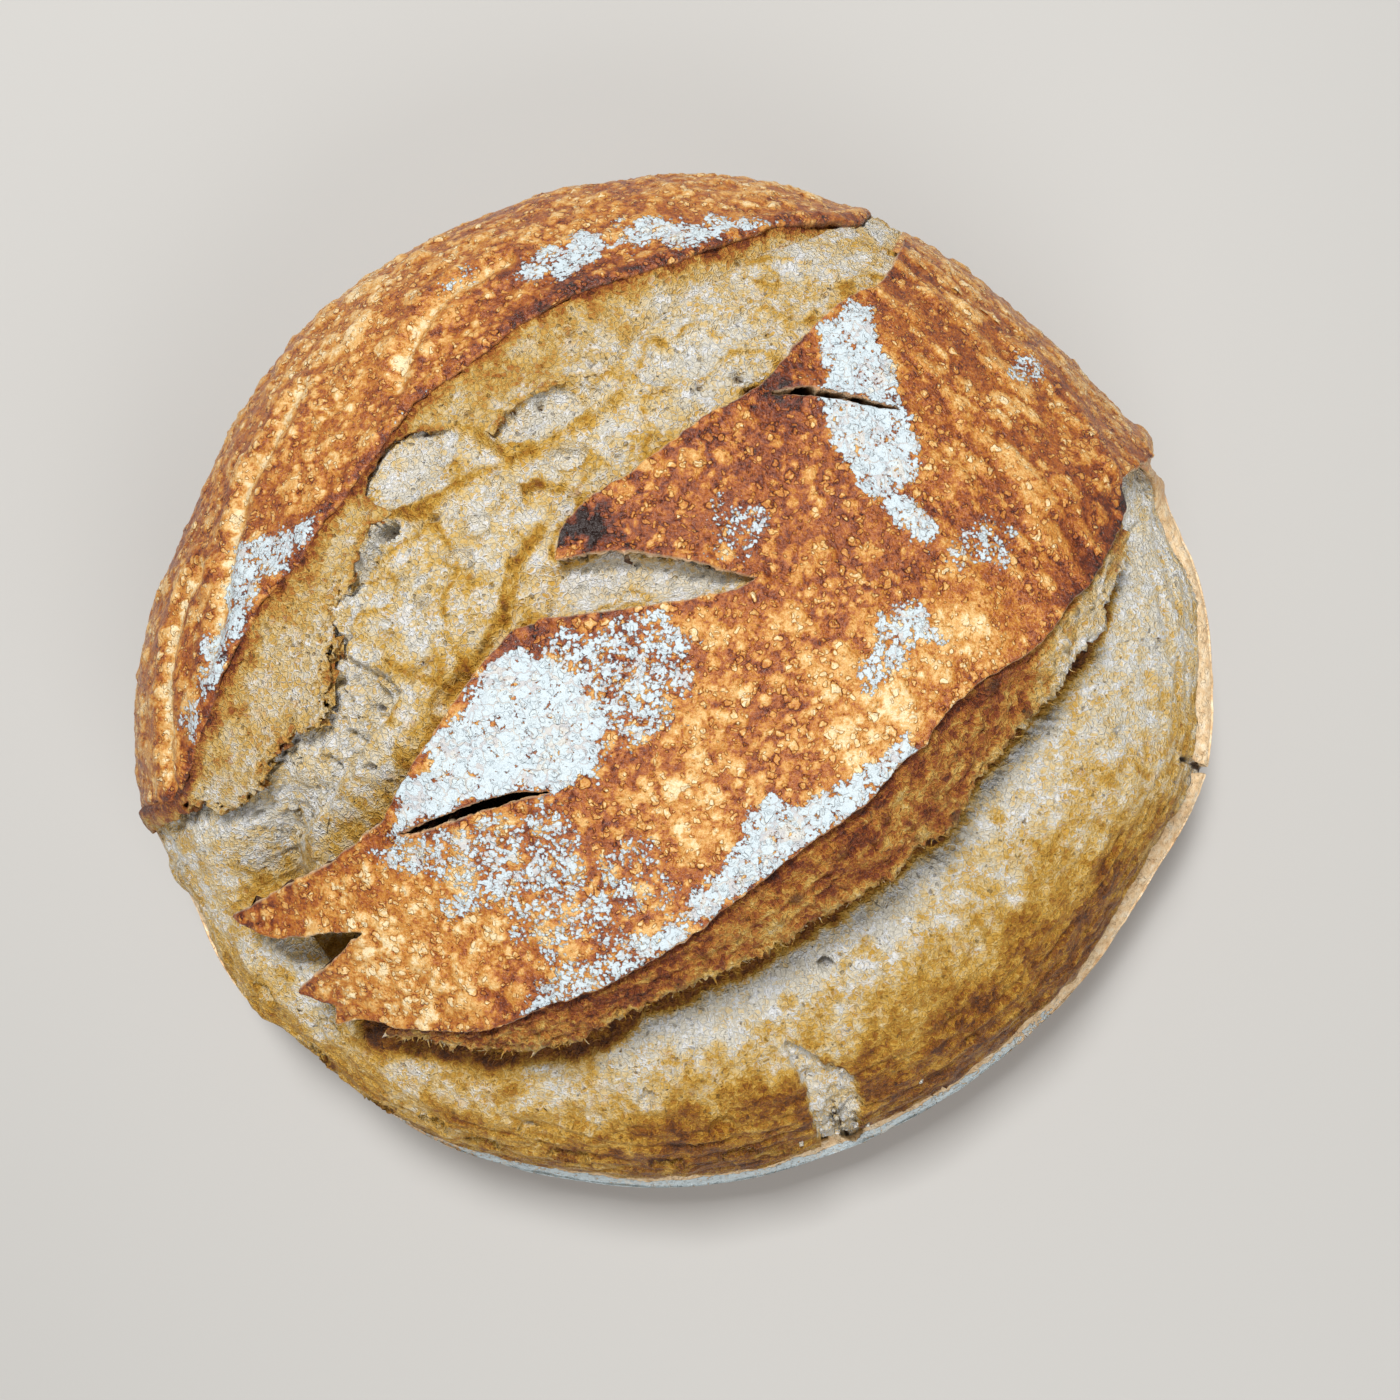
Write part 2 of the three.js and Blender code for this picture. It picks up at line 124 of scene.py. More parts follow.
POCKETS = [  # middle, half lengths, turn in degrees, depth
    (-24, 50.5, 11, 4.0, 24, 3.4), (-48, 41, 9.5, 5.0, 45, 1.3), (-53.6, 29, 3.0, 2.0, 10, 6),
    (-57.8, 22, 1.8, 6, -22, 3.6), (-19.3, 42, 3.9, 2.2, 14, 2.6), (-36, 30, 3, 2, 30, 1.6),
    (-39, 24, 2.6, 1.8, 10, 1.8), (-30, 34, 3.2, 1.6, 50, 1.5), (-70, -50.5, 11, 4.5, 5, 1.6),
    (3, 62, 10, 5, 30, 1.2), (14, 69, 5, 3, 30, 1.2), (-33, 37.4, 2.4, 1.2, 70, 1.4),
    (-40, -1, 5, 2.4, 45, 2.6), (-55.6, -1.4, 3.6, 1.8, -55, 2.0), (-53, 12, 1.4, 1.1, 0, 1.4),
    (-46, 20, 1.2, 0.9, 0, 1.2), (-56.5, -3.4, 1.0, 0.9, 0, 3), (-59.5, 1, 3.2, 2, 20, 1.4),
    (-60.8, -9.6, 3, 1.6, -40, 1.8), (-65, -15, 3.4, 1.2, -50, 1.6), (29, -53, 1.9, 1.2, -10, 3),
    (33.6, -88.5, 2.0, 1.4, 40, 5), (92, 31, 3.5, 1.6, 60, 1.2), (96, 40, 3, 1.4, 60, 1),
    (-40, -93, 3.6, 1.1, -10, 3.2), (-22, -95, 4, 1.1, -5, 3.4), (-62, -86, 3, 1.0, -30, 2.6),
    (88, -8, 2, 1.3, 0, 1), (-2, -96.5, 3.4, 1.1, 2, 3.2), (13, -94.5, 4, 1.2, 8, 3.4),
    (-50, -88, 2.8, 1.0, -18, 2.8), (-30, -88, 1.8, 1.1, 0, 2.2), (55, -84, 1.8, 0.9, 30, 2.2),
    (60, -71, 1.8, 0.8, 35, 1.4), (-74, -76, 3.0, 1.1, -42, 2.6), (9, -87, 2.6, 2.2, 10, 1.8),
    (-6, -81, 2.4, 1.4, 60, 1.4), (4, -92, 1.4, 0.9, 0, 1.8), (-84, -62, 3, 1.4, -50, 2.0),
    (-70, -68, 2.6, 1.2, -40, 1.8),
]
CAVITY = [  # outline of the deep tear beyond the golden skin
    (-66, 12), (-62.8, 12), (-60.2, 6.5), (-55.5, 4.2), (-51.7, 2.2), (-49.6, -0.6), (-51.3, -3.2),
    (-52.6, -5.0), (-54.7, -8.0), (-57.8, -12.6), (-60.5, -17), (-65, -22), (-71, -28.3), (-80, -34),
    (-90, -37), (-103, -33), (-103, -21), (-91, -18), (-82, -17), (-77, -10), (-71, -5), (-68, 0),
    (-68, 6),
]
TEAR = [  # outline of the pale tear in the lower band
    (22, -70), (25, -70.5), (28, -72), (32, -75), (36, -78), (37.5, -84), (38.5, -90), (40.5, -97),
    (42, -104), (35, -105), (31, -99), (29.7, -94), (27.5, -88), (26, -82), (23.6, -75),
]
CRACKS = [  # places along the crack, half width, depth
    ([(33.5, -90), (36, -95), (38, -100)], 0.8, 2.4),
    ([(103, -14.1), (106.5, -15.2), (118.3, -18.3)], 0.8, 2.0),
]
STRIP_EDGE = [
    (88, 30), (86.5, 26), (82.5, 19.5), (80, 11.5), (75.5, 7), (71.5, 1), (66, -4), (60, -11), (55, -17),
    (50, -24.5), (43.5, -29), (39, -33.5), (31, -38), (21.5, -44.5), (12, -49.5), (4, -52), (-0.5, -55),
    (-9.5, -59), (-14.5, -63), (-22, -65.5), (-31.5, -67.5), (-44, -66.5), (-56, -66),
]
PORES = [  # spacing, depth, seed, how often
    (4.6, 1.1, 111, 0.22), (2.5, 0.9, 121, 0.45), (1.6, 0.7, 131, 0.7),
]
PORE_SQUEEZE = 1.25
RIM_LUMPS = [  # middle, size and rise of lumps that stand out along the rim
    (-97.6, -65.5, 4, 2.2), (-92.6, -74.6, 5, 2.6), (-81.7, -79.2, 4, 2.2), (-76, -84.8, 4, 2),
    (-67, -96, 3, 1.8), (44, -100, 2.5, 1.6), (36, -102, 2, 1.6), (112, 18, 5, 1.5), (-108, -40, 5, 2),
]


def at_angle(rows, column, angle):
    """Smooth value at each angle in degrees, from rows that start with their own angle."""
    table = np.array(sorted((row[0] % 360, *row[1:]) for row in rows), float)
    turns = np.concatenate([table[:, 0] - 360, table[:, 0], table[:, 0] + 360])
    values = np.tile(table[:, column], 3)
    slopes = (np.roll(values, -1) - np.roll(values, 1)) / (np.roll(turns, -1) - np.roll(turns, 1))
    turn = np.mod(angle, 360)
    k = np.searchsorted(turns, turn, side="right") - 1
    span = turns[k + 1] - turns[k]
    t = (turn - turns[k]) / span
    keep = (1 + 2 * t) * (1 - t) ** 2
    bend = span * t * (1 - t) * ((1 - t) * slopes[k] - t * slopes[k + 1])
    return keep * values[k] + (1 - keep) * values[k + 1] + bend


def smooth(low, high, x):
    """0 below low, 1 above high and a smooth ramp between them."""
    t = np.clip((x - low) / (high - low), 0, 1)
    return t * t * (3 - 2 * t)


def mix(a, b, share):
    return a + (b - a) * share


def curve(points, spacing=1.5):
    """Smooth line through given points, at about an even spacing."""
    points = np.array(points, float)
    padded = np.vstack([2 * points[0] - points[1], points, 2 * points[-1] - points[-2]])
    line = []
    for a, b, c, d in zip(padded, padded[1:], padded[2:], padded[3:]):
        steps = max(1, int(np.linalg.norm(c - b) / spacing))
        for t in np.arange(steps) / steps:
            bend = a - 2.5 * b + 2 * c - d / 2 + t * (1.5 * (b - c) + (d - a) / 2)
            line.append(b + t * ((c - a) / 2 + t * bend))
    return np.array(line + [points[-1]])


def line_distance(x, y, line):
    """Distance from each place to a line of points."""
    least = np.full(np.shape(x), np.inf)
    for (ax, ay), (bx, by) in zip(line, line[1:]):
        dx, dy = bx - ax, by - ay
        t = np.clip(((x - ax) * dx + (y - ay) * dy) / (dx * dx + dy * dy + 1e-9), 0, 1)
        np.minimum(least, (x - ax - t * dx) ** 2 + (y - ay - t * dy) ** 2, out=least)
    return np.sqrt(least)


def inside(x, y, outline):
    """Distance to a closed outline, counted as positive inside it."""
    odd = np.zeros(np.shape(x), bool)
    closed = np.vstack([outline, outline[:1]])
    for (ax, ay), (bx, by) in zip(closed, closed[1:]):
        if ay != by:
            odd ^= ((ay > y) != (by > y)) & (x < ax + (y - ay) * (bx - ax) / (by - ay))
    return np.where(odd, 1, -1) * line_distance(x, y, closed)


def polar(angle, radius):
    return radius * np.cos(np.radians(angle)), radius * np.sin(np.radians(angle))


def from_middle(x, y):
    """Angle in degrees round the loaf's middle, and distance from it."""
    return np.degrees(np.arctan2(y, x)), np.hypot(x, y)


def ellipse(x, y, cx, cy, length, width, turn):
    """Share of the way from an ellipse's middle to its edge."""
    c, s = math.cos(math.radians(turn)), math.sin(math.radians(turn))
    return np.hypot(((x - cx) * c + (y - cy) * s) / length, ((y - cy) * c - (x - cx) * s) / width)


def blobs(x, y, rows):
    """Sum of soft round patches, each with its middle, radius and strength."""
    return sum(
        strength * np.exp(-((x - cx) ** 2 + (y - cy) ** 2) / radius**2)
        for cx, cy, radius, strength in rows
    )


def scramble(cell, seed):
    """Repeatable random whole number for each cell of a grid."""
    x, y, z = (cell[..., i].astype(np.int32).view(np.uint32) for i in range(3))
    h = x * np.uint32(73856093) ^ y * np.uint32(19349663) ^ z * np.uint32(83492791) ^ np.uint32(seed * 7919)
    for _ in range(2):
        h = (h ^ (h >> np.uint32(16))) * np.uint32(73244475)
    return h ^ (h >> np.uint32(16))


def draws(h):
    """Three random numbers from 0 to 1 out of one scrambled number."""
    parts = [h >> np.uint32(shift) & np.uint32(1023) for shift in (0, 10, 20)]
    return np.stack(parts, -1).astype(np.float32) / np.float32(1023)


def noise(p, size, seed):
    """Smooth noise from about -1 to 1 with lumps of the given size, one or three lengths."""
    q = (p / np.asarray(size, float)).astype(np.float32)
    cell = np.floor(q)
    f = q - cell
    w = f * f * f * (f * (f * 6 - 15) + 10)
    total = 0
    for corner in itertools.product((0, 1), repeat=3):
        step = np.array(corner, np.float32)
        slope = 2 * draws(scramble(cell + step, seed)) - 1
        weight = np.prod(np.where(step > 0, w, 1 - w), -1)
        total = total + weight * np.sum(slope * (f - step), -1)
    return 1.6 * total


def lumps(p, size, seed, octaves=3):
    """Noise with finer noise on it, each half the size and strength of the last."""
    return sum(noise(p, np.asarray(size, float) / 2**k, seed + k) / 2**k for k in range(octaves))


def wobble(p, size, reach, seed):
    """Smooth push of each point in a direction of its own, up to about the given reach."""
    return reach * np.stack([noise(p, size, seed + k) for k in range(3)], -1)


def bubbles(p, size, seed):
    """Distance to the nearest of scattered points, in spacings, and three random numbers of that point."""
    q = (p / np.asarray(size, float)).astype(np.float32)
    cell = np.floor(q)
    best = np.full(q.shape[:-1], np.inf, np.float32)
    own = np.zeros(q.shape[:-1], np.uint32)
    for offset in itertools.product((-1, 0, 1), repeat=3):
        near = cell + np.array(offset, np.float32)
        h = scramble(near, seed)
        gap = near + draws(h) - q
        distance = np.sum(gap * gap, -1)
        closer = distance < best
        best = np.where(closer, distance, best)
        own = np.where(closer, h, own)
    return np.sqrt(best), draws(scramble(np.stack([own >> np.uint32(k) for k in (0, 7, 15)], -1), seed + 1))


def notch(angle):
    """How far the loaf's edge steps in at the end of the ear."""
    return 6.0 * np.exp(-((np.mod(angle - 25.4 + 180, 360) - 180) / 1.5) ** 2)


def waviness(x, y):
    return 0.5 * np.sin(x / 11 + y / 17) + 0.4 * np.sin(y / 9 - x / 23 + 1.3) + 0.3 * np.sin(x / 6.5 + 2.1)


def lower_share(angle):
    """1 where the torn band under the ear lies, 0 where crust covers the loaf."""
    turn = np.mod(angle, 360)
    return np.where(turn > 100, smooth(190, 208, turn), 1 - smooth(16, 30, turn))


def crumb_height(angle, radius):
    """Surface of the crumb over a point, which crust covers where it is whole."""
    edge = at_angle(OUTLINE, 1, angle)
    widest = at_angle(OUTLINE, 2, angle)
    share = np.minimum(1, radius / edge)
    covered = widest + (HEIGHT - widest) * np.sqrt(1 - share**2) - CRUST_STEP * (1 - share**8)
    furrow = at_angle(LOWER_BAND, 1, angle)
    crest = at_angle(LOWER_BAND, 2, angle)
    across = (radius - furrow) / (edge - furrow)
    fall = 1 - smooth(0, CREASE_SHARE, np.abs(across))
    shelf = at_angle(RIM_WIDTH, 1, angle)
    down = np.clip((radius - furrow) / (edge - furrow - shelf), 0, 1)
    foot = widest + RIM_RISE * np.clip((edge - radius) / shelf, 0, 1) ** 0.6
    bulge = foot + (crest - foot) * np.sqrt(np.clip(1 - down**2.8, 0, 1))
    behind = mix(crest, covered - PLATE_DEPTH / 2, smooth(0, 0.25, -across))
    torn = np.where(across > 0, bulge, behind) - at_angle(LOWER_BAND, 3, angle) * fall
    return mix(covered, torn, lower_share(angle)) + waviness(*polar(angle, radius)) * (1 - share**6)


def outward(points):
    """Unit normals of a grid of points, and its two edge directions."""
    along = np.gradient(points, axis=0)
    across = np.gradient(points, axis=1)
    normal = np.cross(along, across)
    return normal / (np.linalg.norm(normal, axis=-1, keepdims=True) + 1e-12), along, across


def torn_edges(quads, ring):
    """Edges between kept faces and left-out ones, but not the edges of the grid itself."""
    beyond = np.pad(quads, 1)
    sides = [beyond[1:-1, :-2], beyond[2:, 1:-1], beyond[1:-1, 2:], beyond[:-2, 1:-1]]
    border = [np.zeros(quads.shape, bool) for _ in sides]
    border[0][:, 0] = border[1][-1, :] = border[2][:, -1] = border[3][0, :] = True
    return np.concatenate([
        ring[quads & ~side & ~rim][:, [k, (k + 1) % 4]]
        for k, (side, rim) in enumerate(zip(sides, border))
    ])


def uphill(reach, along, across):
    """Unit direction over a grid of points in which reach grows fastest."""
    du, dv = np.gradient(reach, axis=0), np.gradient(reach, axis=1)
    uu, uv, vv = (np.sum(a * b, -1) for a, b in ((along, along), (along, across), (across, across)))
    scale = 1 / (uu * vv - uv * uv + 1e-9)
    slope = along * ((vv * du - uv * dv) * scale)[..., None]
    slope = slope + across * ((uu * dv - uv * du) * scale)[..., None]
    return slope / (np.linalg.norm(slope, axis=-1, keepdims=True) + 1e-9)


def sheet(points, reach, values, wall=(), fray=0.0, seed=0, shade=None):
    """Mesh of the part of a grid of points where reach, the distance inside its edge, is positive.

    wall lists how far each row of the torn edge stands out past the edge and how far it lies under it. fray
    roughens those rows, and shade gives their values from the edge's own and the row's depth. Returns
    points, faces and values.
    """
    normal, along, across = outward(points)
    out = reach < 0
    best = np.zeros(reach.shape)
    moved = points.copy()
    rows, columns = reach.shape
    for di, dj in itertools.product((-1, 0, 1), repeat=2):
        i = np.clip(np.arange(rows) + di, 0, rows - 1)[:, None]
        j = np.clip(np.arange(columns) + dj, 0, columns - 1)[None, :]
        near = reach[i, j]
        better = out & (near > best)
        t = (reach / (reach - near - 1e-9))[..., None]
        moved = np.where(better[..., None], points + (points[i, j] - points) * t, moved)
        best = np.where(better, near, best)
    kept = ~out | (best > 0)
    quads = kept[:-1, :-1] & kept[1:, :-1] & kept[1:, 1:] & kept[:-1, 1:]
    quads &= ~(out[:-1, :-1] & out[1:, :-1] & out[1:, 1:] & out[:-1, 1:])
    number = np.arange(rows * columns).reshape(rows, columns)
    ring = np.stack([number[:-1, :-1], number[1:, :-1], number[1:, 1:], number[:-1, 1:]], -1)
    faces = ring[quads]
    flat = moved.reshape(-1, 3)
    values = {name: np.broadcast_to(value, reach.shape).reshape(-1) for name, value in values.items()}
    if wall:
        edges = torn_edges(quads, ring)
        rim, link = np.unique(edges, return_inverse=True)
        link = link.reshape(edges.shape)
        inward = uphill(reach, along, across).reshape(-1, 3)[rim]
        down = -normal.reshape(-1, 3)[rim]
        last = rim
        extra_points, extra_values = [flat], {name: [value] for name, value in values.items()}
        extra_faces, count = [faces], len(flat)
        for past, depth in wall:
            row = flat[rim] - inward * past + down * depth
            rough = fray * min(1.0, depth / 2)
            row = row - inward * (rough * lumps(row, 2.4, seed + 5))[:, None]
            fresh = count + np.arange(len(rim))
            extra_points.append(row)
            a, b = link[:, 0], link[:, 1]
            extra_faces.append(np.stack([last[b], last[a], fresh[a], fresh[b]], -1))
            edge_values = {name: value[rim] for name, value in values.items()}
            for name, value in shade(edge_values, depth).items():
                extra_values[name].append(value)
            last = fresh
            count += len(rim)
        flat = np.concatenate(extra_points)
        faces = np.concatenate(extra_faces)
        values = {name: np.concatenate(value) for name, value in extra_values.items()}
    used, faces = np.unique(faces, return_inverse=True)
    return flat[used], faces.reshape(-1, 4), {name: value[used] for name, value in values.items()}


def piece(name, mesh_data, material):
    """A piece of the loaf from points in drawn millimetres, its faces and its values for the material."""
    points, faces, values = mesh_data
    mesh = bpy.data.meshes.new(name)
    mesh.from_pydata((points * UNIT).tolist(), [], faces.tolist())
    for key, value in values.items():
        mesh.attributes.new(key, "FLOAT", "POINT").data.foreach_set("value", value.astype(np.float32))
    mesh.shade_smooth()
    mesh.materials.append(material)
    made = bpy.data.objects.new(name, mesh)
    bpy.context.scene.collection.objects.link(made)
    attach(made, "root")
    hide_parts("loaf")


class Wire:
    """An output in a material's nodes. Arithmetic on wires adds Math nodes."""

    def __init__(self, tree, socket):
        self.tree = tree
        self.socket = socket

    def node(self, kind, settings, sockets, out=0):
        """Adds a node with its settings and its sockets' values or wires, and gives one of its outputs."""
        made = self.tree.nodes.new("ShaderNode" + kind)
        for name, value in settings.items():
            if name == "stops":
                ramp = made.color_ramp
                while len(ramp.elements) < len(value):
                    ramp.elements.new(1)
                for element, (place, colour) in zip(ramp.elements, value):
                    element.position = place
                    element.color = (*colour, 1)
            else:
                setattr(made, name, value)
        for key, value in sockets.items():
            if isinstance(value, Wire):
                self.tree.links.new(value.socket, made.inputs[key])
            else:
                made.inputs[key].default_value = value
        return Wire(self.tree, made.outputs[out])

    def maths(self, operation, *values):
        return self.node("Math", {"operation": operation}, dict(enumerate(values)))

    def __add__(self, other):
        return self.maths("ADD", self, other)

    def __sub__(self, other):
        return self.maths("SUBTRACT", self, other)

    def __rsub__(self, other):
        return self.maths("SUBTRACT", other, self)

    def __mul__(self, other):
        return self.maths("MULTIPLY", self, other)

    __radd__ = __add__
    __rmul__ = __mul__

    def ramp(self, low, high):
        """0 below low, 1 above high and a smooth step between them."""
        sockets = {"Value": self, "From Min": low, "From Max": high}
        return self.node("MapRange", {"interpolation_type": "SMOOTHSTEP"}, sockets)

    def blend(self, other, share):
        """This colour, with the given share of another one."""
        settings = {"data_type": "RGBA", "clamp_factor": True}
        return self.node("Mix", settings, {0: share, 6: self, 7: other}, out=2)

    def value(self, name):
        """A value that the mesh carries."""
        return self.node("Attribute", {"attribute_name": name}, {}, out=2)

    def grain(self, place, size, detail=2.0, rough=0.5):
        """Noise from 0 to 1 with lumps of a size in drawn millimetres."""
        sockets = {"Vector": place, "Scale": 1 / (size * UNIT), "Detail": detail, "Roughness": rough}
        return self.node("TexNoise", {}, sockets)

    def cells(self, place, size, feature="F1", out=0):
        """Voronoi cells: the distance to a cell's middle, or with out=1 the cell's own shade."""
        sockets = {"Vector": place, "Scale": 1 / (size * UNIT)}
        return self.node("TexVoronoi", {"feature": feature}, sockets, out=out)

    def spots(self, place, size, low, high):
        """How far inside one of many round spots a place is. Their reach goes from low to high."""
        return self.cells(place, size, out=1) * (high - low) + low - self.cells(place, size)

    def warped(self, place, size, reach):
        """The place pushed about by smooth noise."""
        sockets = {"Vector": place, "Scale": 1 / (size * UNIT), "Detail": 1.0}
        push = self.node("TexNoise", {}, sockets, out=1)
        push = self.node("VectorMath", {"operation": "SUBTRACT"}, {0: push, 1: (0.5, 0.5, 0.5)})
        push = self.node("VectorMath", {"operation": "SCALE"}, {0: push, "Scale": reach * UNIT})
        return self.node("VectorMath", {"operation": "ADD"}, {0: place, 1: push})


def new_material(name):
    """A material, a wire to build its nodes with, and the shader node that its colours go to."""
    material = bpy.data.materials.new(name)
    material.use_nodes = True
    tree = material.node_tree
    shader = next(node for node in tree.nodes if node.type == "BSDF_PRINCIPLED")
    return material, Wire(tree, None), shader


def feed(wire, shader, name, value):
    wire.tree.links.new(value.socket, shader.inputs[name])


LIP_LINE = curve(EAR_LIP)
RIDGE_LINE = curve(CRESCENT_RIDGE)
SHADE_LINE = curve(STRIP_EDGE[2:], 3)
UPPER_LINE = curve(PLATE_UPPER_EDGE)
FOLD_LINES = [curve(fold) for fold in FOLDS]
PLATE = np.vstack([UPPER_LINE, PLATE_RIGHT_SIDE, LIP_LINE, TONGUES])
CRESCENT = np.vstack([RIDGE_LINE, CRESCENT_OUTSIDE])
SKIN = np.vstack([curve(SKIN_EDGE), [(50, 118), (0, 135), (-90, 120), (-135, 40), (-125, -36)]])


def pored(p, rows, seldom):
    """Depth of scattered open bubbles at each point, and how far the point is into one."""
    depth, pit = np.zeros(p.shape[:-1]), np.zeros(p.shape[:-1])
    bent = p + wobble(p, 2.6, 0.5, 115)
    for spacing, deep, seed, often in rows:
        aslant = bent[..., 0] * 0.8 + bent[..., 1] * 0.5
        upright = (bent[..., 1] * 0.85 - bent[..., 0] * 0.5) * PORE_SQUEEZE
        distance, own = bubbles(np.stack([aslant, upright, bent[..., 2]], -1), spacing, seed)
        reach = 0.16 + 0.24 * own[..., 0] ** 2
        hole = np.clip(1 - (distance / reach) ** 2, 0, 1) * (own[..., 1] < often * (1 - seldom))
        depth = depth + deep * (0.4 + own[..., 0]) * np.sqrt(hole)
        pit = np.maximum(pit, 0.8 * hole * min(1, deep))
    return depth, pit


def with_pockets(p, height, pit):
    """Height and pits with the large pockets sunk in, and how far inside a pocket each point is."""
    x, y = p[..., 0], p[..., 1]
    membrane = np.zeros(height.shape)
    bent, ragged = 0.16 * noise(p, 4, 141), 0.1 * noise(p, 1.8, 142)
    for cx, cy, length, width, turn, depth in POCKETS:
        here = ellipse(x, y, cx, cy, length, width, turn) + bent + ragged
        bowl = np.clip(1 - here**2, 0, 1) ** 0.35
        rim = np.exp(-(((here - 1.08) / 0.08) ** 2)) * min(0.6, depth / 4)
        height = height - depth * bowl + rim
        membrane = np.maximum(membrane, bowl)
        steep = depth / min(length, width)
        # Painted shade: steep, deep pockets get a darker pit value.
        pit = np.maximum(pit, bowl * min(0.8, max(0.0, steep - 0.8) / 2.6))
    return height, pit, membrane


def with_tears(p, height, pit):
    """Height and pits with the tears, the cracks and the rim's lumps, and where the two tears lie."""
    x, y = p[..., 0], p[..., 1]
    cavity = inside(x, y, np.array(CAVITY)) + 0.9 * lumps(p, 4.5, 144, 3)
    sunk = smooth(-0.5, 1.6, cavity) * smooth(-34, -20, y)
    height = height - 3.5 * sunk + 0.9 * sunk * lumps(p, 3.6, 156, 3)
    pale = smooth(-0.2, 0.5, inside(x, y, np.array(TEAR)) + 1.3 * lumps(p, 4, 149, 3))
    height = height - pale * (2.4 + 0.9 * lumps(p, 2.4, 147, 3))
    aside, frayed = 1.1 * noise(p, 6, 146), lumps(p, 3.2, 143, 3)
    for line, half, depth in CRACKS:
        gap = line_distance(x, y + aside, line) + 0.4 * half * frayed
        split = 1 - smooth(0.4 * half, half, gap)
        height = height - depth * split
        pit = np.maximum(pit, split)
    rough = 1 + 0.5 * lumps(p, 3.5, 148, 2)
    for cx, cy, size, rise in RIM_LUMPS:
        height = height + rise * np.exp(-((x - cx) ** 2 + (y - cy) ** 2) / size**2) * rough
    return height, pit, sunk, pale


def crumb_relief(p):
    """Height of the crumb's fibres, pores and torn places at each point, with baking and painted shade, and
    pits.
    """
    x, y = p[..., 0], p[..., 1]
    angle, radius = from_middle(x, y)
    lower = lower_share(angle)
    edge = at_angle(OUTLINE, 1, angle)
    furrow = at_angle(LOWER_BAND, 1, angle)
    across = np.where(lower > 0.5, (radius - furrow) / (edge - furrow), 0)
    combed = np.stack([np.radians(angle) * MEAN_RADIUS, radius, p[..., 2]], -1)
    fibres = noise(combed, (1.2, 8, 8), 101) + 0.6 * noise(combed, (3.0, 16, 16), 102)
    layered = np.stack([np.radians(angle) * MEAN_RADIUS / 5, radius, p[..., 2] * 2], -1)
    layers = noise(layered, 2.4, 103)
    near_rim = smooth(0.45, 0.8, across)
    under_skin = smooth(1.0, 4.0, inside(x, y, SKIN)) * (1 - lower)
    height = 0.55 * lumps(p, 13, 104, 2) + 0.4 * lumps(p, 5, 105, 3) + 0.16 * lumps(p, 1.7, 108, 2)
    height = height + lower * (0.4 * fibres * (1 - near_rim) + 0.75 * layers * near_rim)
    web = 1 - np.abs(lumps(p + wobble(p, 6, 1.5, 106), (14, 14, 14), 109, 2))
    height = height + (1 - lower) * 0.5 * (web**12 - 0.2)
    hollow, pit = pored(p, PORES, 0.75 * lower)
    height = height - hollow * (1 - 0.5 * lower)
    pit = pit * (1 - 0.3 * lower)
    height, pit, membrane = with_pockets(p, height, pit)
    height, pit, sunk, pale = with_tears(p, height, pit)
    height = height - 2.6 * under_skin - (1 - lower) * 4 * smooth(-0.3, 2.5, inside(x, y, CRESCENT))
    swerve = 0.7 * noise(p, 6, 145)
    for fold in FOLD_LINES:
        height = height + 0.9 * np.exp(-(((line_distance(x, y, fold) + swerve) / 1.1) ** 2))
    golden_and_shaded = crumb_bake_and_shade(p, across, lower, web, height)
    # Painted shade: near the rim the hollows between the layers are painted darker and their tops paler.
    golden_and_shaded = golden_and_shaded - 0.14 * membrane * (1 - lower) - 0.12 * lower * near_rim * layers
    golden_and_shaded = mix(golden_and_shaded, 0.14 + 0.12 * noise(p, 3, 157), 0.75 * sunk)
    return height, np.clip(golden_and_shaded * (1 - 0.75 * pale), 0, 1), np.clip(np.maximum(pit, 0.3 * pale), 0, 1)


CRUMB_GOLD = [  # soft patches of golden bake in the lower band
    (84, -42, 16, 0.12), (60, -66, 16, 0.12), (8, -88, 10, 0.14), (40, -84, 9, 0.16),
    (70, -18, 10, 0.06), (60, -34, 12, -0.1), (88, 14, 14, -0.1), (24, -72, 5, -0.12),
    (-8, -78, 8, -0.08), (20, -80, 5, 0.12),
]
GOLD_SHARE = [  # angle, how golden the lower band bakes towards its rim
    (190, 0.2), (205, 0.3), (215, 0.45), (228, 0.62), (240, 0.8), (255, 0.88), (270, 0.98), (285, 1.04),
    (300, 1.1), (318, 1.14), (335, 0.9), (348, 0.62), (358, 0.42), (368, 0.28), (380, 0.2),
]


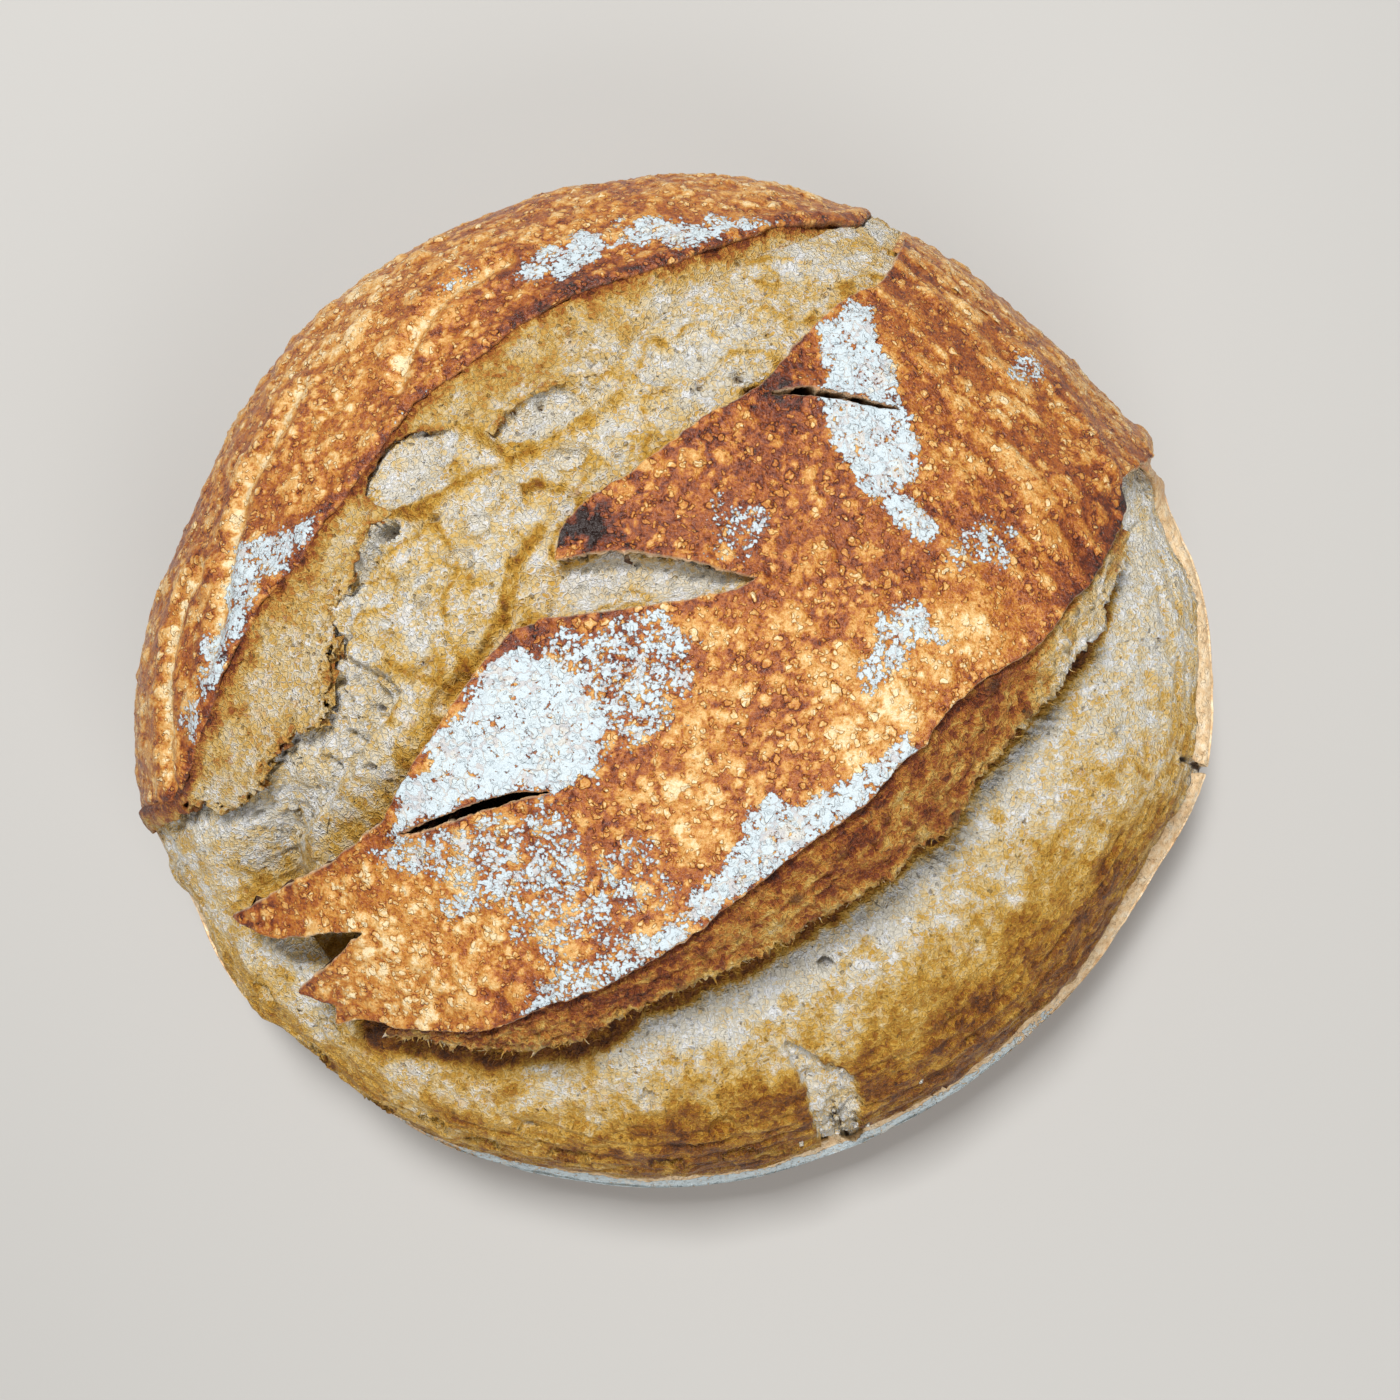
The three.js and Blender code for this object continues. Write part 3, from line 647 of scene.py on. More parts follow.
def crumb_bake_and_shade(p, across, lower, web, height):
    """How golden the crumb is baked, 0 for cream and 1 for brown, with a painted shadow under the ear."""
    x, y = p[..., 0], p[..., 1]
    near_plate = line_distance(x, y, UPPER_LINE) + 1.4 * lumps(p, 8, 158, 2)
    beside = smooth(-30, -42, x)
    upper = 0.15 + 0.13 * np.exp(-((near_plate / 3.0) ** 2)) + 0.24 * web**10
    gold_fold = 0.2 * beside * (1 - smooth(3, 7.5, near_plate)) * (inside(x, y, PLATE) < 2)
    gold_fold = gold_fold + 0.34 * np.exp(-((x + 67) ** 2 / 90 + (y + 51) ** 2 / 20))
    for fold in FOLD_LINES:
        upper = upper + 0.26 * np.exp(-((line_distance(x, y, fold) / 1.5) ** 2))
    around = np.arctan2(y, x)
    combed = np.stack([around * MEAN_RADIUS / 5, np.hypot(x, y) / 26, p[..., 2] * 0], -1)
    streaks = noise(combed, 1, 155)
    way = across + 0.13 * lumps(p, 14, 151, 3) + 0.07 * streaks
    band = 0.32 * smooth(0.34, 0.46, way) + 0.36 * smooth(0.52, 0.84, way)
    band = band - 0.46 * smooth(0.9, 0.97, across)
    turn = np.mod(np.degrees(around), 360)
    left_end = 1 - smooth(225, 240, np.where(turn > 100, turn, 360))
    band = at_angle(GOLD_SHARE, 1, np.degrees(around)) * band + blobs(x, y, CRUMB_GOLD)
    band = band + 0.14 * left_end - 0.14 * (1 - smooth(0.36, 0.5, way)) * (1 - left_end)
    # Painted shadow: a dark brown band on the crumb just past the strip's hanging edge, where the ear shades
    # it.
    hidden = line_distance(x, y, SHADE_LINE) + 1.2 * streaks
    right_end = smooth(240, 362, np.where(turn > 100, turn, turn + 360))
    past = np.maximum(0, hidden - mix(5.2, 2.6, right_end))
    painted_ear_shadow = 0.72 * np.exp(-((past / 1.9) ** 2)) + 0.16 * np.exp(-((past / 5) ** 2))
    painted_ear_shadow = painted_ear_shadow * np.where(turn > 100, smooth(212, 228, turn), 1)
    band = np.minimum(band, 0.74) + painted_ear_shadow
    wander = 0.15 * lumps(p, 10, 185, 2) + 0.12 * lumps(p, 3, 153, 2)
    return np.clip(mix(upper, band, lower) + gold_fold + wander + 0.05 * height, 0, 0.92)


CRUMB_STOPS = [
    (0.0, (0.82, 0.77, 0.65)), (0.2, (0.84, 0.64, 0.32)), (0.4, (0.72, 0.42, 0.07)),
    (0.6, (0.48, 0.22, 0.02)), (0.78, (0.27, 0.085, 0.008)), (1.0, (0.08, 0.025, 0.008)),
]
WARM_STOPS = [
    (0.0, (0.74, 0.67, 0.52)), (0.2, (0.78, 0.60, 0.32)), (0.4, (0.70, 0.43, 0.10)),
    (0.6, (0.50, 0.19, 0.03)), (0.78, (0.25, 0.055, 0.014)), (1.0, (0.06, 0.016, 0.008)),
]
# Near-white for the crumb's white flecks: partly its own colour and partly painted glints.
CREAM_AND_GLINT = (0.93, 0.94, 0.95, 1)
PIT_SHADE = (0.075, 0.035, 0.014, 1)


def crumb_material(name, stops):
    """Torn bread crumb: cream to golden, with fine fibres, tiny open pores and a slight gleam."""
    material, wire, shader = new_material(name)
    place = wire.node("TexCoord", {}, {}, out=3)
    bake, pit = wire.value("bake"), wire.value("pit")
    bent = wire.warped(place, 1.3, 1.6)
    drawn_out = {"X": wire.value("beside"), "Y": wire.value("along") * 0.2, "Z": 0.0}
    combed = wire.node("CombineXYZ", {}, drawn_out)
    streaky = {"Vector": combed, "Scale": 1.1, "Detail": 3.0, "Roughness": 0.6}
    fibre = wire.node("TexNoise", {}, streaky) - 0.5
    fine = wire.grain(place, 0.55, 4, 0.75) - 0.5
    patch = wire.grain(bent, 3.6, 4, 0.65).ramp(0.42, 0.56) - 0.5
    walls = 1 - wire.cells(bent, 1.15, "DISTANCE_TO_EDGE").ramp(0.02, 0.16)
    shade = wire.cells(bent, 1.15, out=1) - 0.5
    pore = wire.spots(bent, 1.7, -0.2, 0.36).ramp(0, 0.07)
    small = wire.spots(bent, 0.9, -0.15, 0.36).ramp(0, 0.07)
    light = fibre * 1.6 + fine * 1.9 + walls * 0.35 + shade * 1.1 - patch * 0.5
    # White flecks on the paler crumb: partly the crumb's own white and partly painted highlight.
    white = (1 - bake.ramp(0.12, 0.46)) * (light - 0.08).ramp(0.1, 0.6)
    tone = bake + 0.03 + fine * 0.55 + patch * 0.15 + shade * 0.24 - walls * 0.1 + fibre * 0.12
    colour = wire.node("ValToRGB", {"stops": stops}, {0: tone})
    colour = colour.blend(CREAM_AND_GLINT, white * 0.92)
    # Painted shade: pores, and the pits, pockets and cracks that the pit value marks, darken towards
    # PIT_SHADE.
    colour = colour.blend(PIT_SHADE, (pore * 0.55 + small * 0.45 + pit.ramp(0.05, 1.1)).ramp(0, 1.1))
    feed(wire, shader, "Base Color", colour)
    relief = fine * 0.9 + walls * 0.4 + fibre * 0.6 - pore * 0.9 - small * 0.6
    bump = wire.node("Bump", {}, {"Strength": 1.0, "Distance": 0.85 * UNIT, "Height": relief})
    feed(wire, shader, "Normal", bump)
    shader.inputs["Roughness"].default_value = 0.42
    shader.inputs["Specular IOR Level"].default_value = 0.4
    return material


def fibre_lines(points, lower):
    """Place across and along the crumb's fibres, in drawn millimetres: outwards in the lower band."""
    x, y = points[..., 0], points[..., 1]
    around = np.mod(np.arctan2(y, x) - math.pi / 2, 2 * math.pi) * MEAN_RADIUS
    bent = 3 * noise(points, 20, 161)
    return {
        "beside": mix(0.75 * y - 0.66 * x, around, lower) + bent,
        "along": mix(0.66 * y + 0.75 * x, np.hypot(x, y), lower),
    }


CRUMB = crumb_material("torn_crumb", CRUMB_STOPS)
DRIED = crumb_material("dried_crumb", WARM_STOPS)
# Cuts whose last value is 1 are painted dark inside: painted shade in the narrow, deep cut.
LEAF_CUTS = [  # the two lips of each cut, its depth and how brown it is inside
    ([(-52.5, -27), (-46.1, -24.2), (-36.3, -20.3), (-28.4, -18), (-18.9, -17.6)],
     [(-18.9, -18), (-28.4, -20.2), (-36.3, -22.8), (-46.1, -26.3)], 9, 1.0),
    ([(-30, 21), (-20.7, 23.2), (-14.8, 24.4), (-7.2, 24.7), (2, 23.1), (9, 21.4), (14.6, 20)],
     [(15.2, 19.6), (11.2, 17.4), (2.1, 15.4), (-7.1, 14), (-19.4, 12.6), (-30, 12)], 6, 0.0),
    ([(15, 53.6), (20, 55), (24.8, 55.6), (31.3, 54.7), (38, 53), (43.9, 51.1)],
     [(38, 51.4), (31.3, 52.6), (24.8, 53.3), (20, 53.4)], 9, 1.0),
]
BAND_HALVES = [("lower_crumb_left", 200, 292), ("lower_crumb_right", 290.6, 386)]  # name, angles
BAND_SPACING = 0.47
BAND_RADIUS = 92
BAND_ROWS = 178
BAND_START = -0.22  # with the furrow at 0 and the rim at 1
UPPER_SPACING = 0.4


def even_grid(left, right, front, back, spacing):
    """Places at an even spacing over a rectangle, with x along the rows."""
    return np.meshgrid(np.arange(left, right, spacing), np.arange(front, back, spacing), indexing="ij")


def lower_crumb():
    for name, first, last in BAND_HALVES:
        angles = np.arange(first, last, math.degrees(BAND_SPACING / BAND_RADIUS))
        angle, step = np.meshgrid(angles, np.linspace(BAND_START, 1, BAND_ROWS))
        edge = at_angle(OUTLINE, 1, angle) - notch(angle)
        furrow = at_angle(LOWER_BAND, 1, angle)
        radius = furrow + (edge - furrow) * np.sin(step * math.pi / 2)
        points = np.stack([*polar(angle, radius), crumb_height(angle, radius)], -1)
        under_rim = at_angle(RIM_WIDTH, 1, angle) - (edge - radius)
        points[..., 2] -= 1.0 * smooth(-1.5, 0.5, under_rim) + 2.0 * smooth(0.97, 1.0, step)
        normal, _, _ = outward(points)
        height, bake, pit = crumb_relief(points)
        kept = (1 - 0.8 * smooth(-1.5, 0.5, under_rim)) * smooth(BAND_START, -0.1, step)
        points = points + normal * (height * kept)[..., None]
        values = {"bake": bake, "pit": pit, **fibre_lines(points, 1)}
        piece(name, sheet(points, np.ones(step.shape), values), CRUMB)


def upper_crumb():
    x, y = even_grid(-114, 52, -76, 101, UPPER_SPACING)
    angle, radius = from_middle(x, y)
    near_cut = np.full(x.shape, -99.0)
    sunk = np.zeros(x.shape)
    cut_shade = np.zeros(x.shape)
    whiter = np.zeros(x.shape)
    for upper, lower, depth, brown in LEAF_CUTS:
        here = inside(x, y, np.array(upper + lower))
        near_cut = np.maximum(near_cut, here + 3)
        cut = (depth - CRUST_STEP) * smooth(-3.2 * brown - 0.3, 3 - 2.5 * brown, here)
        cut = cut * mix(smooth(-32, -16, x), 1, brown)
        lip = 1.2 * np.exp(-((here / 1.4) ** 2)) * smooth(-22, -17, x)
        sunk = np.maximum(sunk, cut) - (1 - brown) * lip
        # Painted shade: the inside of the narrow cuts is painted nearly black and fully pitted.
        cut_shade = np.maximum(cut_shade, brown * smooth(-3, -1.5, here))
        whiter = np.maximum(whiter, (1 - brown) * smooth(0.5, 3, here) * smooth(-26, -12, x))
    reach = np.minimum(4 - inside(x, y, CRESCENT), np.maximum(5 - inside(x, y, PLATE), near_cut))
    reach = np.minimum(reach, (0.99 - radius / at_angle(OUTLINE, 1, angle)) * 100)
    turn = np.mod(angle, 360)
    before_front = np.where(turn > 100, (214 - turn) * 1.5, 5)
    reach = np.minimum(reach, np.where(inside(x, y, PLATE) > -8, 99, before_front))
    points = np.stack([x, y, crumb_height(angle, radius) - sunk], -1)
    normal, _, _ = outward(points)
    height, bake, pit = crumb_relief(points)
    points = points + normal * height[..., None]
    bake = mix(np.maximum(0, bake - 0.2 * whiter), 1.0, cut_shade)
    values = {"bake": bake, "pit": np.maximum(pit, cut_shade), **fibre_lines(points, 0)}
    piece("upper_crumb", sheet(points, reach, values), CRUMB)


lower_crumb()
upper_crumb()

# ---------------------------------------------------------------------------------------------------------
# Bottom crust. The loaf's dry underside, baked on a hot floor, and its side from the left end round the
# front to the right shoulder, with a thin rim left standing where the dough tore away from it. One skin of
# blistered wheat crust, in two pieces.
BASE_SHARE = 0.74
BULGE = 0.5
EAR_LIFT = 3.0
EAR_REACH = 14.0
MEASURED_ANGLE = 45.0  # where the way down the side is measured
MEASURED_POINTS = 600
FLOOR_GAP = 0.02


def shell(angle, travel):
    """Point on the loaf's outside. travel is 0 at the crown, 1 at the widest line, 2 at the edge of the flat
    base and 3 at the middle of the base."""
    edge = at_angle(OUTLINE, 1, angle)
    widest = at_angle(OUTLINE, 2, angle)
    upper = np.clip(travel, 0, 1) * math.pi / 2
    lower = np.clip(travel - 1, 0, 1) * math.pi / 2
    side = (BASE_SHARE + (1 - BASE_SHARE) * np.cos(lower)) * (1 - np.clip(travel - 2, 0, 1))
    reach = (edge + BULGE) * np.where(travel < 1, np.sin(upper), side)
    reach = reach - notch(angle) * smooth(0.72, 1.0, travel) * (1 - smooth(1.5, 2.0, travel))
    x, y = polar(angle, reach)
    lift = EAR_LIFT * np.exp(-((line_distance(x, y, LIP_LINE) / EAR_REACH) ** 2))
    top = widest + (HEIGHT - widest + lift + waviness(x, y)) * np.cos(upper)
    return np.stack([x, y, np.where(travel < 1, top, widest * (1 - np.sin(lower)))], -1)


def even_travel(start, stop, spacing):
    """Values of travel whose points lie an even spacing apart down the loaf's side."""
    travel = np.linspace(start, stop, MEASURED_POINTS)
    points = shell(np.full(MEASURED_POINTS, MEASURED_ANGLE), travel)
    along = np.concatenate([[0], np.cumsum(np.linalg.norm(np.diff(points, axis=0), axis=1))])
    return np.interp(np.linspace(0, along[-1], int(along[-1] / spacing) + 1), along, travel)


BLISTERS = [(5.8, 0.5, 31), (3.3, 0.4, 41), (2.0, 0.24, 51)]  # spacing, rise, seed


def crust_relief(p, stretch=1.0):
    """Height of the crust's swells and blisters at each point, and how far up a blister the point is. With a
    stretch above 1 the blisters are drawn out from the upper left to the lower right."""
    q = np.stack([(p[..., 0] - p[..., 1]) / stretch, p[..., 0] + p[..., 1], p[..., 2] * math.sqrt(2)], -1)
    q = q / math.sqrt(2) + wobble(p, 3.0, 0.45, 24)
    height = 0.5 * lumps(p, 17, 11, 2) + 0.25 * lumps(p, 5, 21, 2) - 0.4
    dome = np.zeros(p.shape[:-1])
    crowd = smooth(-0.5, 0.25, noise(p, 12, 27))
    for spacing, rise, seed in BLISTERS:
        distance, own = bubbles(q, spacing, seed)
        reach = 0.2 + 0.42 * own[..., 0]
        swell = np.clip(1 - (distance / reach) ** 2, 0, 1) * (own[..., 1] < 0.35 + 0.5 * crowd)
        height = height + rise * (0.4 + 0.6 * own[..., 0]) * np.sqrt(swell)
        dome = np.maximum(dome, swell**0.3 * (0.35 + 0.65 * own[..., 2]))
    return height, dome


def crust_wall(bare):
    """How a crust's values change down its torn edge; bare is how much of the pale inside shows there."""
    def shade(rim, depth):
        flour = rim["flour"] * max(0.0, 1 - depth / 0.8)
        torn = np.full(len(flour), bare * min(1.0, 0.25 + depth / 1.6))
        return {**rim, "torn": torn, "flour": flour, "depth": torn * 0 + depth}
    return shade


FLOUR = (0.61, 0.72, 0.77, 1)
TORN_EDGE = [(0.3, (0.68, 0.43, 0.22)), (0.5, (0.88, 0.64, 0.38)), (0.7, (0.94, 0.81, 0.62))]
# Painted shade deep down a crust's torn edge.
DEEP_WALL_SHADE = (0.09, 0.035, 0.015, 1)
CRUST_STOPS = [
    (0.0, (0.88, 0.70, 0.42)), (0.2, (0.74, 0.44, 0.15)), (0.4, (0.56, 0.23, 0.035)),
    (0.58, (0.36, 0.095, 0.014)), (0.78, (0.15, 0.028, 0.008)), (1.0, (0.02, 0.008, 0.006)),
]


def crust_material(name):
    """Baked wheat crust: tan to nearly black by its bake, with small pale bubbles, white flour and paler
    torn edges."""
    material, wire, shader = new_material(name)
    place = wire.node("TexCoord", {}, {}, out=3)
    bent = wire.warped(place, 1.5, 2.2)
    bake, flour, dome, torn, depth = (wire.value(key) for key in ("bake", "flour", "dome", "torn", "depth"))
    patchy = wire.grain(place, 6, 3) - 0.5
    mottle = wire.grain(place, 1.9, 3, 0.6) - 0.5
    fine = wire.grain(place, 0.6, 3, 0.65) - 0.5
    large = wire.spots(bent, 2.4, -0.2, 0.55)
    small = wire.spots(bent, 1.35, -0.12, 0.58)
    tiny = wire.spots(bent, 0.8, -0.1, 0.5)
    bubble = large.ramp(0, 0.1) * 0.5 + small.ramp(0, 0.1) * 0.45
    # Painted shade: outline is a thin dark ring round each blister, in the crevice at its foot; it also dents
    # the bump.
    outline = large.ramp(-0.1, -0.02) * 0.5 + small.ramp(-0.1, -0.02) * 0.45 - bubble
    bubble = bubble + tiny.ramp(0, 0.15) * 0.25
    tone = bake + 0.16 + patchy * 0.24 + mottle * 0.72 + fine * 0.68
    tone = tone - dome * 0.42 - bubble * 0.46 + outline * 0.28
    colour = wire.node("ValToRGB", {"stops": CRUST_STOPS}, {0: tone})
    inner = wire.node("ValToRGB", {"stops": TORN_EDGE}, {0: wire.grain(place, 1.6, 3)})
    # Painted shade: the torn edge turns dark brown from 1.2 to 4.5 mm down.
    colour = colour.blend(inner.blend(DEEP_WALL_SHADE, depth.ramp(1.2, 4.5)), torn)
    dust = wire.grain(place, 0.5, 3, 0.7) * 0.36 + wire.cells(place, 0.85) * 0.24
    dust = dust + wire.grain(place, 2.4, 3) * 0.4
    cover = (flour * 0.44 - dust + 0.19).ramp(-0.02, 0.03) * flour.ramp(0.02, 0.1)
    crack = wire.cells(bent, 2.6, "DISTANCE_TO_EDGE") + patchy * 0.5
    cover = cover * (0.75 + 0.25 * crack.ramp(0.03, 0.06))
    colour = colour.blend(FLOUR, cover * 0.93)
    feed(wire, shader, "Base Color", colour)
    feed(wire, shader, "Roughness", 0.32 + 0.58 * cover + 0.2 * torn)
    relief = mottle * 0.5 + fine * 0.7 + bubble * 0.6 - outline * 0.35 + cover * 0.5
    bump = wire.node("Bump", {}, {"Strength": 1.0, "Distance": 0.6 * UNIT, "Height": relief})
    feed(wire, shader, "Normal", bump)
    shader.inputs["Specular IOR Level"].default_value = 0.5
    return material


CRUST = crust_material("baked_crust")
SIDE_ANGLES = (192.4, 424)
SIDE_RADIUS = 105
SIDE_SPACING = 0.72
SIDE_WALL = [(0.15, 0.3), (0.1, 0.8), (-0.3, 1.5), (-1.0, 2.4)]
BASE_RAYS = 330
BASE_RINGS = np.append(np.linspace(1.93, 2.985, 64), 2.9996)
RIM_CRACKS = [  # line, half width, how far the rim is broken away
    ([(37.4, -93.4), (41, -104)], 2.4, 3.2), ([(103, -14.3), (120, -18.6)], 1.2, 7),
]
RIM_FLOUR = [
    (0, 0), (-30, 0.1), (-45, 0.8), (-60, 0.95), (-75, 1), (-95, 1), (-112, 0.9), (-125, 0.5),
    (-150, 0.1), (-180, 0),
]


def rim_share(angle):
    """1 where the side's crust ends in a torn rim, 0 where it runs on over the top."""
    turn = np.mod(angle, 360)
    return np.where(turn > 100, smooth(185, 193, turn), 1 - smooth(16, 30, turn))


def side_bake(p):
    """How far the crust on the side is baked: browner towards the base."""
    low = 1 - smooth(4, 34, p[..., 2])
    return 0.36 + 0.16 * low + 0.1 * noise(p, 24, 71)


def rim_gap(p):
    """How far the rim is broken away beside the cracks at each point."""
    x, y = p[..., 0], p[..., 1]
    return sum(deep * np.exp(-((line_distance(x, y, line) / half) ** 4)) for line, half, deep in RIM_CRACKS)


def side_crust():
    angles = np.arange(*SIDE_ANGLES, math.degrees(SIDE_SPACING / SIDE_RADIUS))
    travel, angle = np.meshgrid(even_travel(0.7, 2.04, SIDE_SPACING), angles, indexing="ij")
    points = shell(angle, travel)
    lower = rim_share(angle)
    x, y = points[..., 0], points[..., 1]
    laid = crumb_height(angle, np.hypot(x, y)) + 1.3 + 0.4 * noise(points, 9, 74)
    laid = mix(points[..., 2], np.minimum(points[..., 2], laid), smooth(0.1, 0.6, lower))
    points[..., 2] = np.where(travel < 1, laid, points[..., 2])
    normal, _, _ = outward(points)
    height, dome = crust_relief(points)
    inner = (at_angle(OUTLINE, 1, angle) + BULGE - notch(angle)) - np.hypot(x, y)
    on_rim = lower * (1 - smooth(1.0, 1.12, travel))
    height = height * (1 - 0.75 * smooth(1.7, 2.0, travel)) * (1 - 0.7 * on_rim * (travel < 1))
    ragged = 0.6 * lumps(points, 3.0, 75) + 1.0 * noise(points, 22, 76)
    reach = at_angle(RIM_WIDTH, 1, angle) - np.where(travel < 1, inner, -20 * (travel - 1)) + ragged
    reach = mix(20.0, reach - rim_gap(points), lower > 0.02)
    points = points + normal * height[..., None]
    points[..., 2] = np.maximum(points[..., 2], FLOOR_GAP)
    dusty = 1 - smooth(1.9, 2.9, inner + 0.5 * lumps(points, 3, 77, 2))
    below = 0.9 - 0.9 * smooth(1.01, 1.11, travel + 0.03 * lumps(points, 4, 82, 3))
    dusty = at_angle(RIM_FLOUR, 1, angle) * np.where(travel < 1, dusty, below)
    values = {
        "bake": side_bake(points) - 0.36 * on_rim, "dome": dome * (1 - 0.6 * on_rim),
        "flour": np.clip(dusty, 0, 1), "torn": 0.8 * on_rim, "depth": 0.0,
    }
    mesh_data = sheet(points, reach, values, SIDE_WALL, fray=0.3, seed=78, shade=crust_wall(0.7))
    piece("side_crust", mesh_data, CRUST)


def base_crust():
    travel, angle = np.meshgrid(BASE_RINGS, np.linspace(0, 360, BASE_RAYS), indexing="ij")
    points = shell(angle, travel)
    height, dome = crust_relief(points)
    normal, _, _ = outward(points)
    pressed = smooth(1.75, 2.0, travel)
    points = points + normal * (height * (1 - 0.75 * pressed) - 0.15 * pressed)[..., None]
    points[..., 2] = np.maximum(points[..., 2], FLOOR_GAP)
    values = {
        "bake": side_bake(points) + 0.12 * noise(points, 30, 79), "dome": dome * 0.3,
        "flour": 0.35 * smooth(-0.2, 0.5, noise(points, 18, 80)), "torn": 0.0, "depth": 0.0,
    }
    piece("base_crust", sheet(points, np.ones(travel.shape), values), CRUST)


side_crust()
base_crust()

# ---------------------------------------------------------------------------------------------------------
# Golden skin. The film of dough that dried first along the ridge and ripped as the loaf kept rising: its
# jagged edge stands over the deep tear and over the largest pockets. One thin sheet of crumb, baked golden.
SKIN_SPACING = 0.42
SKIN_WALL = [(0.1, 0.3), (0.0, 0.8), (-0.7, 1.5), (-1.8, 2.2)]
SKIN_PORES = [(3.2, 0.9, 171, 0.35), (1.8, 0.7, 181, 0.7)]


def crumb_wall(rim, depth):
    """How a crumb's values change down its torn edge."""
    # Painted shade: the torn edge is painted darker the further down it goes.
    pit = np.minimum(1, rim["pit"] + 0.12 * depth)
    return {**rim, "pit": pit, "bake": np.minimum(0.7, rim["bake"] + 0.07 * depth)}


def skin_surface(p, reach):
    """Height of the skin over the crumb's even surface, and its pits."""
    x, y = p[..., 0], p[..., 1]
    ridge = line_distance(x, y, RIDGE_LINE)
    hollow, pit = pored(p, SKIN_PORES, 0.0)
    height = 0.5 * lumps(p, 13, 104, 2) + 0.2 * lumps(p, 4, 172, 3) + 0.1 * lumps(p, 1.6, 173, 2) - hollow
    height = height + 0.6 + 1.5 * np.exp(-((ridge / 6) ** 2))
    height = height - 3.5 * smooth(-0.3, 2.5, inside(x, y, CRESCENT))
    return height - 3.4 * (1 - smooth(0, 9, reach)) * smooth(-16, -2, x), pit


def golden_skin():
    x, y = even_grid(-114, 42, -46, 101, SKIN_SPACING)
    angle, radius = from_middle(x, y)
    points = np.stack([x, y, crumb_height(angle, radius)], -1)
    torn = 1 - smooth(3, 12, line_distance(x, y, SKIN_TORN))
    jagged = (0.3 + 0.8 * torn) * lumps(points, 2.6, 174, 3)
    jagged = jagged + torn * (1.2 - 4 * np.abs(lumps(points, 1.9, 177, 2)))
    reach = inside(x, y, SKIN) + jagged
    height, pit = skin_surface(points, reach)
    reach = np.minimum(reach, 3.5 - inside(x, y, CRESCENT))
    reach = np.minimum(reach, (0.985 - radius / at_angle(OUTLINE, 1, angle)) * 100)
    normal, _, _ = outward(points)
    points = points + normal * height[..., None]
    ridge = line_distance(x, y, RIDGE_LINE) + noise(points, 5, 154)
    bake = 0.29 + 0.42 * np.exp(-((ridge / 2.4) ** 2)) + 0.14 * np.exp(-((ridge / 7) ** 2))
    bake = bake + 0.14 * np.exp(-((reach / 0.8) ** 2))
    bake = bake + 0.14 * lumps(points, 9, 175, 3) + 0.1 * lumps(points, 2.4, 176, 2)
    bake = bake - 0.14 * smooth(-16, 4, x) * (1 - smooth(2, 12, reach))
    values = {"bake": np.clip(bake, 0, 1), "pit": pit, **fibre_lines(points, 0)}
    mesh_data = sheet(points, reach, values, SKIN_WALL, fray=0.3, seed=178, shade=crumb_wall)
    piece("golden_skin", mesh_data, DRIED)


golden_skin()

# ---------------------------------------------------------------------------------------------------------
# Crescent of crust. The crust beyond the upper tear, from its dark raised ridge over the shoulder and down
# the back of the loaf to the base. Blistered wheat crust, dusted with flour along the ridge and the top.
CRESCENT_ANGLES = (62, 193.2)
CRESCENT_RADIUS = 106
CRESCENT_SPACING = 0.58
LIP_WALL = [(0.3, 0.25), (0.35, 0.8), (0.0, 1.6), (-0.8, 3.0), (-2.0, 6.0)]
CRESCENT_FLOUR = [  # outline, how thick
    ([(-32.7, 79.5), (-24.2, 84.8), (-14.8, 90.5), (-10.9, 91.1), (-14.9, 81.3), (-21.8, 77.5),
      (-31.5, 77.6)], 0.85),
    ([(-13.6, 86.6), (-5, 91.9), (12.5, 91.5), (22.3, 91.7), (13.4, 87.1), (4.7, 84.7), (-12.5, 84)], 0.9),
    ([(-47, 77), (-38, 83), (-37, 81), (-45, 75)], 0.7),
    ([(-62.1, 35.2), (-70, 31), (-84.8, 27.6), (-87.4, 15), (-91.9, 0), (-97, -6), (-93, -10), (-88, -1),
      (-78.7, 17), (-70.8, 25)], 0.85),
    ([(-55, 47), (-43.5, 58.5), (-42.5, 57), (-53.5, 45.5)], 0.6),
    ([(-80, 33), (-86, 30), (-90, 12), (-84, 14)], 0.5),
]
CRESCENT_TONES = [(-22, 76, 14, 0.12), (-48, 54, 8, 0.1), (-60, 60, 22, -0.06), (-80, 20, 18, -0.05)]
CREASES = [  # lines where the crust is drawn thin and pale
    [(-73.3, 58.5), (-78.8, 46.4), (-83.6, 38.2), (-85, 28.4), (-86.5, 16.3), (-89.2, 4.6)],
    [(-32.4, 82.9), (-43.8, 75.9), (-49.2, 67.8), (-52.5, 57.2)],
    [(-93.4, 23.7), (-98.3, 14.4), (-99.7, 3), (-100, -8.1), (-99.7, -15.6), (-96.5, -22.3)],
]


def dusted(p, patches, seed):
    """How thickly flour lies at each point, from listed patches with ragged edges."""
    x, y = p[..., 0], p[..., 1]
    ragged = 2.6 * lumps(p, 6, seed, 3)
    cover = np.zeros(x.shape)
    for outline, thick in patches:
        cover = np.maximum(cover, thick * smooth(-3.2, 1.8, inside(x, y, np.array(outline)) + ragged))
    return cover


